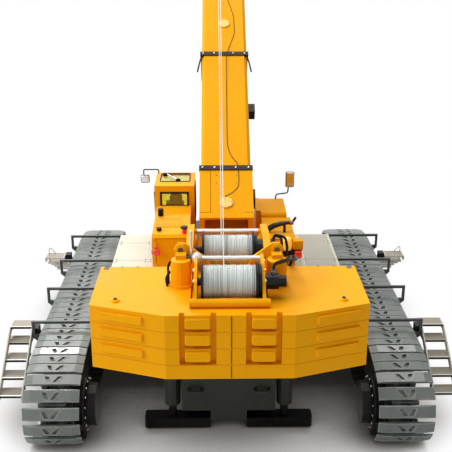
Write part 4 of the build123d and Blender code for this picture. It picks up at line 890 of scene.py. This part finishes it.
mirrorBacks = [pad((34.4, 29.0, 80.8), xWay, zWay, 4.6, 8.4, 0.7, 0.85),
               pad((-43.8, 44.0, 77.0), xWay, zWay, 4.8, 4.4, 0.9, 0.85)]
piece("mirror_frames", joined(stalks + mirrorBacks), "black_paint", "superstructure",
      smooth=50,
      replaces=("mirrors",))
mirrorGlass = [pad((34.4, 28.15, 80.8), xWay, zWay, 4.0, 7.8, 0.5, 0.12),
               pad((-43.8, 43.15, 77.0), xWay, zWay, 4.2, 3.8, 0.5, 0.12)]
piece("mirror_faces", joined(mirrorGlass), "chrome", "superstructure")
exhaust = {"y": -17.0, "path": ((18.4, 67.7), (20.6, 69.8), (23.0, 71.3), (26.3, 72.3), (29.2, 72.8),
                                (32.1, 72.8)),
           "radii": (1.0, 1.35, 1.35, 1.15, 0.9, 0.9)}
pipe = tube([(x, exhaust["y"], z) for x, z in exhaust["path"]], exhaust["radii"], 20)
post = tube([(28.1, exhaust["y"], 67.9), (28.1, exhaust["y"], 72.3)], 0.7, 12)
stub = tube([(31.8, exhaust["y"], 72.8), (33.4, exhaust["y"], 75.6)], 0.6, 12)
piece("exhaust_body", joined([pipe, post, stub]), "exhaust_black", "superstructure",
      smooth=50,
      replaces=("exhaust_pipe",))
piece("exhaust_collar", tube([(30.6, exhaust["y"], 72.8), (32.4, exhaust["y"], 72.8)], 1.05, 20), "bronze",
      "superstructure")
beaconLens = lathe([(2.3, 0), (2.5, 0.5), (2.5, 4.2), (2.1, 5.5), (1.2, 6.2), (0.01, 6.4)],
                   (28.6, -25.0, 62.25),
                   zWay, 32)
redPads = [pad((34.0, -28.4, 60.7), xWay, zWay, 3.5, 3.6, 0.9, 0.7, 0.4, 0.4),
           pad((-33.5, -24.2, 60.6), xWay, zWay, 3.2, 3.2, 0.9, 0.7, 0.4, 0.4)]
piece("red_lamps", joined(redPads), "lamp_lens", "superstructure")
piece("lamp_box_cover", boxShape((31.6, -26.4, 62.2), (36.4, -22.0, 66.9)), "yellow_paint",
      "superstructure",
      smooth=0, bevel=0.3)
redPost = lathe([(1.25, 0), (1.25, 2.6), (0.01, 2.6)], (-20.2, -20.2, 68.8), zWay, 20)
postCap = lathe([(1.9, 2.6), (1.9, 3.2), (1.4, 3.6), (0.01, 3.6)], (-20.2, -20.2, 68.8), zWay, 20)
piece("red_post", redPost, "lamp_lens", "superstructure")
piece("post_cap", postCap, "black_paint", "superstructure")
piece("amber_beacon", beaconLens, "amber_lens", "superstructure", smooth=50)
print("stage 5: superstructure trim")


# Boom: round covers, screws, seams, the cable on its top and the hoist lines


def coverShape(u, x=0.0, radius=3.15):
    return lathe([(radius, 0.3), (radius, 0.65), (radius - 0.15, 0.8), (0.01, 0.8)],
                 boomPoint(u, boom["top"], x), boomUp, 36)


coverBolts = [lathe([(0.36, 0.7), (0.36, 1.05), (0.2, 1.2), (0.01, 1.2)],
                    boomPoint(u + 2.35 * math.sin(turn), boom["top"], 2.35 * math.cos(turn)), boomUp, 10)
              for u in (15.7, 142.4) for turn in (math.radians(20 + 90 * k) for k in range(4))]
piece("cover_bolts", joined(coverBolts), "bare_metal", "boom")
piece("round_covers", joined([coverShape(15.7), coverShape(142.4)]), "cover_pale", "boom")
screwTable = [(32.8, -4.8), (27.8, -4.8), (32.8, 5.2), (27.8, 5.2), (42.9, -2.5), (43.6, 3.6), (160.3, 0.0),
              (21.6, -2.9)]
screws = [lathe([(0.34, -0.05), (0.34, 0.12), (0.2, 0.2), (0.01, 0.2)], boomPoint(u, boom["top"], x),
                boomUp, 10)
          for u, x in screwTable]
piece("boom_screws", joined(screws), "bronze", "boom")
bandDots = [lathe([(0.42, 0.4), (0.42, 0.9), (0.25, 1.05), (0.01, 1.05)], boomPoint(u, boom["top"], x),
                  boomUp, 10)
            for u in (37.2, 118.0, 201.4) for x in (-11.6, -5.6, 4.9, 11.2)]
piece("band_screws", joined(bandDots), "white_steel", "boom")
lengthSeams = [tube([boomPoint(u, boom["top"] - 0.08, -7.6) for u in (10.2, 35.4)], 0.17, 6)]
for x0, x1 in ((-12.9, -7.35), (8.6, 12.9)):
    lengthSeams.append(tube([boomPoint(10.2, boom["top"] - 0.08, x0),
                             boomPoint(10.2, boom["top"] - 0.08, x1)], 0.15, 6))
piece("boom_seam", joined(lengthSeams), "seam_dark", "boom")
cableRoute = [(19.6, -0.6), (22.0, 3.2), (25.4, 6.0), (30.0, 6.3), (40.0, 6.1), (43.4, 3.4), (47.4, 1.8),
              (53.0, 0.8),
              (84.0, 0.9), (117.0, 1.1), (123.0, 2.6), (134.4, 5.9), (149.0, 5.6), (158.0, 3.7),
              (166.0, 1.6), (240.0, 1.4),
              (360.0, 1.4)]
cableRise = {"on": 0.14, "over": 0.86}
cablePoints = []
for u, x in cableRoute:
    over = any(abs(u - band) < 2.2 for band in (37.2, 118.0, 201.4))
    cablePoints.append(boomPoint(u, boom["top"] + cableRise["over" if over else "on"], x))
cablePath = arcPath(cablePoints, 3.0, 5)
piece("sensor_cable", tube(cablePath, 0.17, 6), "dark_brown", "boom", smooth=50)
bandBars = [pad(boomPoint(u + 1.4, boom["top"] - 0.02, 0.0), xWay, boomAlong, 26.6, 2.8, 0.1, 0.68, 0.1,
                0.9)
            for u in (35.8, 116.6, 200.0)]
piece("band_bars", joined(bandBars), "dark_brown", "boom", smooth=0)
bandEars = []
for side in (-1, 1):
    for u in (116.6,):
        bandEars.append(tube(arcPath([boomPoint(u + 0.4, 21.6, side * 12.4),
                                      boomPoint(u - 3.2, 20.2, side * 13.6),
                                      boomPoint(u - 8.4, 18.0, side * 14.8)], 1.5), 0.42, 8))
piece("band_ears", joined(bandEars), "dark_brown", "boom")


# Hoist lines: from each drum to the boom's end collar, from section to section and over the top sheave


hoist = {"guideU": 364.0, "guideW": 23.6, "radius": 0.17, "step": 6.0, "headU": 403.0, "headW": 17.4}
hoistTable = {"front": {"x": (-2.9, -3.1), "from": (-65.0, 84.5)},
              "rear": {"x": (-2.2, -1.9), "from": (-98.0, 84.5)}}
chain = ["boom", "section_1", "section_2", "section_3", "section_4"]


def blended(name, path, finish="line_pale"):
    made = piece(name, tube(path, hoist["radius"], 8), finish, None, smooth=50)
    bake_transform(made)


for name, facts in hoistTable.items():
    y, z = facts["from"]
    x0, x1 = facts["x"]
    place = boomPoint(hoist["guideU"], hoist["guideW"], x1)
    blended("hoist_line_" + name, [np.array([x0, y, z]), place])
    for number, (inner, outer) in enumerate(zip(chain[:-1], chain[1:]), 1):
        share = (hoist["step"] * number) / (hoist["headU"] - hoist["guideU"])
        w = hoist["guideW"] + share * (hoist["headW"] - hoist["guideW"])
        following = boomPoint(hoist["guideU"] + hoist["step"] * number, w, x1)
        blended("hoist_line_" + name + "_" + str(number), [place, following])
        place = following
    head = [place, boomPoint(hoist["headU"] - 0.6, hoist["headW"], x1)]
    over = [boomPoint(403.0 + 4.4 * math.sin(t), 13.0 + 4.4 * math.cos(t), x1)
            for t in np.linspace(0.0, 1.9, 9)]
    down = [boomPoint(405.0 + 4.4 * math.sin(t), -18.5 + 4.4 * math.cos(t), x1)
            for t in np.linspace(1.9, 2.4, 4)]
    piece("head_line_" + name, tube(head + over + down, hoist["radius"], 8), "line_pale", "section_4",
          smooth=50)
falls = [tube([(x, 326.368 + side * 4.5, 272.6), (x, 326.368 + side * 4.5, 258.6)], 0.45, 8)
         for x in (-2.2, 2.2) for side in (-1, 1)]
piece("block_falls", joined(falls), "line_pale", "block", smooth=50)
pinCaps = [lathe([(2.3, 0), (2.3, 0.7), (2.0, 0.95), (0.01, 0.95)], boomPoint(0, 0, side * 17.6),
                 side * xWay, 24)
           for side in (-1, 1)]
piece("foot_pin_caps", joined(pinCaps), "dark_steel", "superstructure")
print("stage 6: boom trim and hoist lines")


# Floor, backdrop and lamps: the camera sees white paper with a painted shadow, darkened where the model
# stands close over it


floorShade = {"reach": 0.22,
              "stops": ((0.03, 0.012), (0.12, 0.03), (0.22, 0.11), (0.34, 0.27), (0.48, 0.52),
                                      (0.72, 1.0))}
floorMaterial = bpy.data.materials.new("pale_floor")
floorMaterial.use_nodes = True
floorTree = floorMaterial.node_tree
floorTree.nodes.clear()
floorOut = floorTree.nodes.new("ShaderNodeOutputMaterial")
floorDiffuse = floorTree.nodes.new("ShaderNodeBsdfDiffuse")
floorDiffuse.inputs["Color"].default_value = (0.8, 0.8, 0.8, 1.0)
# Painted shadow: camera rays see a colour ramp of the ambient occlusion, dark under the model and white in
# the open; all other rays see the plain diffuse floor
floorOpen = floorTree.nodes.new("ShaderNodeAmbientOcclusion")
floorOpen.samples = 24
floorOpen.inputs["Distance"].default_value = floorShade["reach"]
floorPaintedShadow = rampNode(floorTree, floorOpen.outputs["AO"],
                     [(at, (v, v ** 1.02, v ** 1.05)) for at, v in floorShade["stops"]])
floorSeen = floorTree.nodes.new("ShaderNodeEmission")
floorTree.links.new(floorPaintedShadow, floorSeen.inputs["Color"])
floorPath = floorTree.nodes.new("ShaderNodeLightPath")
floorMix = floorTree.nodes.new("ShaderNodeMixShader")
floorTree.links.new(floorPath.outputs["Is Camera Ray"], floorMix.inputs[0])
floorTree.links.new(floorDiffuse.outputs["BSDF"], floorMix.inputs[1])
floorTree.links.new(floorSeen.outputs["Emission"], floorMix.inputs[2])
floorTree.links.new(floorMix.outputs["Shader"], floorOut.inputs["Surface"])
bpy.ops.mesh.primitive_plane_add(size=12.0, location=(0.0, 0.0, 0.0))
floor = bpy.context.object
floor.name = "floor"
floor.data.materials.append(floorMaterial)

world = bpy.data.worlds.new("studio")
scene.world = world
world.use_nodes = True
worldTree = world.node_tree
background = worldTree.nodes["Background"]
background.inputs["Color"].default_value = (0.96, 0.98, 1.0, 1.0)
background.inputs["Strength"].default_value = 0.20
paper = worldTree.nodes.new("ShaderNodeBackground")
paper.inputs["Color"].default_value = (1.0, 1.0, 1.0, 1.0)
paper.inputs["Strength"].default_value = 1.0
worldPath = worldTree.nodes.new("ShaderNodeLightPath")
worldMix = worldTree.nodes.new("ShaderNodeMixShader")
worldSeen = worldTree.nodes.new("ShaderNodeMath")
worldSeen.operation = "MAXIMUM"
worldTree.links.new(worldPath.outputs["Is Camera Ray"], worldSeen.inputs[0])
worldTree.links.new(worldPath.outputs["Is Glossy Ray"], worldSeen.inputs[1])
worldTree.links.new(worldSeen.outputs["Value"], worldMix.inputs[0])
worldTree.links.new(background.outputs["Background"], worldMix.inputs[1])
worldTree.links.new(paper.outputs["Background"], worldMix.inputs[2])
worldTree.links.new(worldMix.outputs["Shader"], worldTree.nodes["World Output"].inputs["Surface"])

lamps = {
    "key": {"place": (-0.95, -0.30, 0.72), "aim": (0.0, 0.0, 0.06), "size": (0.5, 0.5), "power": 7.5},
    "top": {"place": (0.0, 0.1, 1.2), "aim": (0.0, 0.0, 0.05), "size": (1.0, 1.0), "power": 9.5},
    "rear": {"place": (-0.1, -1.2, 0.35), "aim": (0.0, 0.0, 0.06), "size": (0.7, 0.5), "power": 0.8},
    "strip_l": {"place": (-0.37, 1.07, 0.95), "aim": (-0.07, -0.07, 0.04), "size": (0.5, 0.12),
                "power": 9.0},
    "strip_r": {"place": (0.37, 1.07, 0.95), "aim": (0.07, -0.07, 0.04), "size": (0.25, 0.10),
                "power": 0.8},
}
for name, facts in lamps.items():
    data = bpy.data.lights.new(name, "AREA")
    data.shape = "RECTANGLE"
    data.size, data.size_y = facts["size"]
    data.energy = facts["power"]
    lamp = bpy.data.objects.new(name, data)
    lamp.location = facts["place"]
    way = np.array(facts["aim"]) - np.array(facts["place"])
    lamp.rotation_euler = (math.atan2(math.hypot(way[0], way[1]), -way[2]), 0.0,
                           math.atan2(way[1], way[0]) - math.pi / 2)
    scene.collection.objects.link(lamp)
scene.view_settings.view_transform = "Standard"
print("stage 7: floor and lamps")
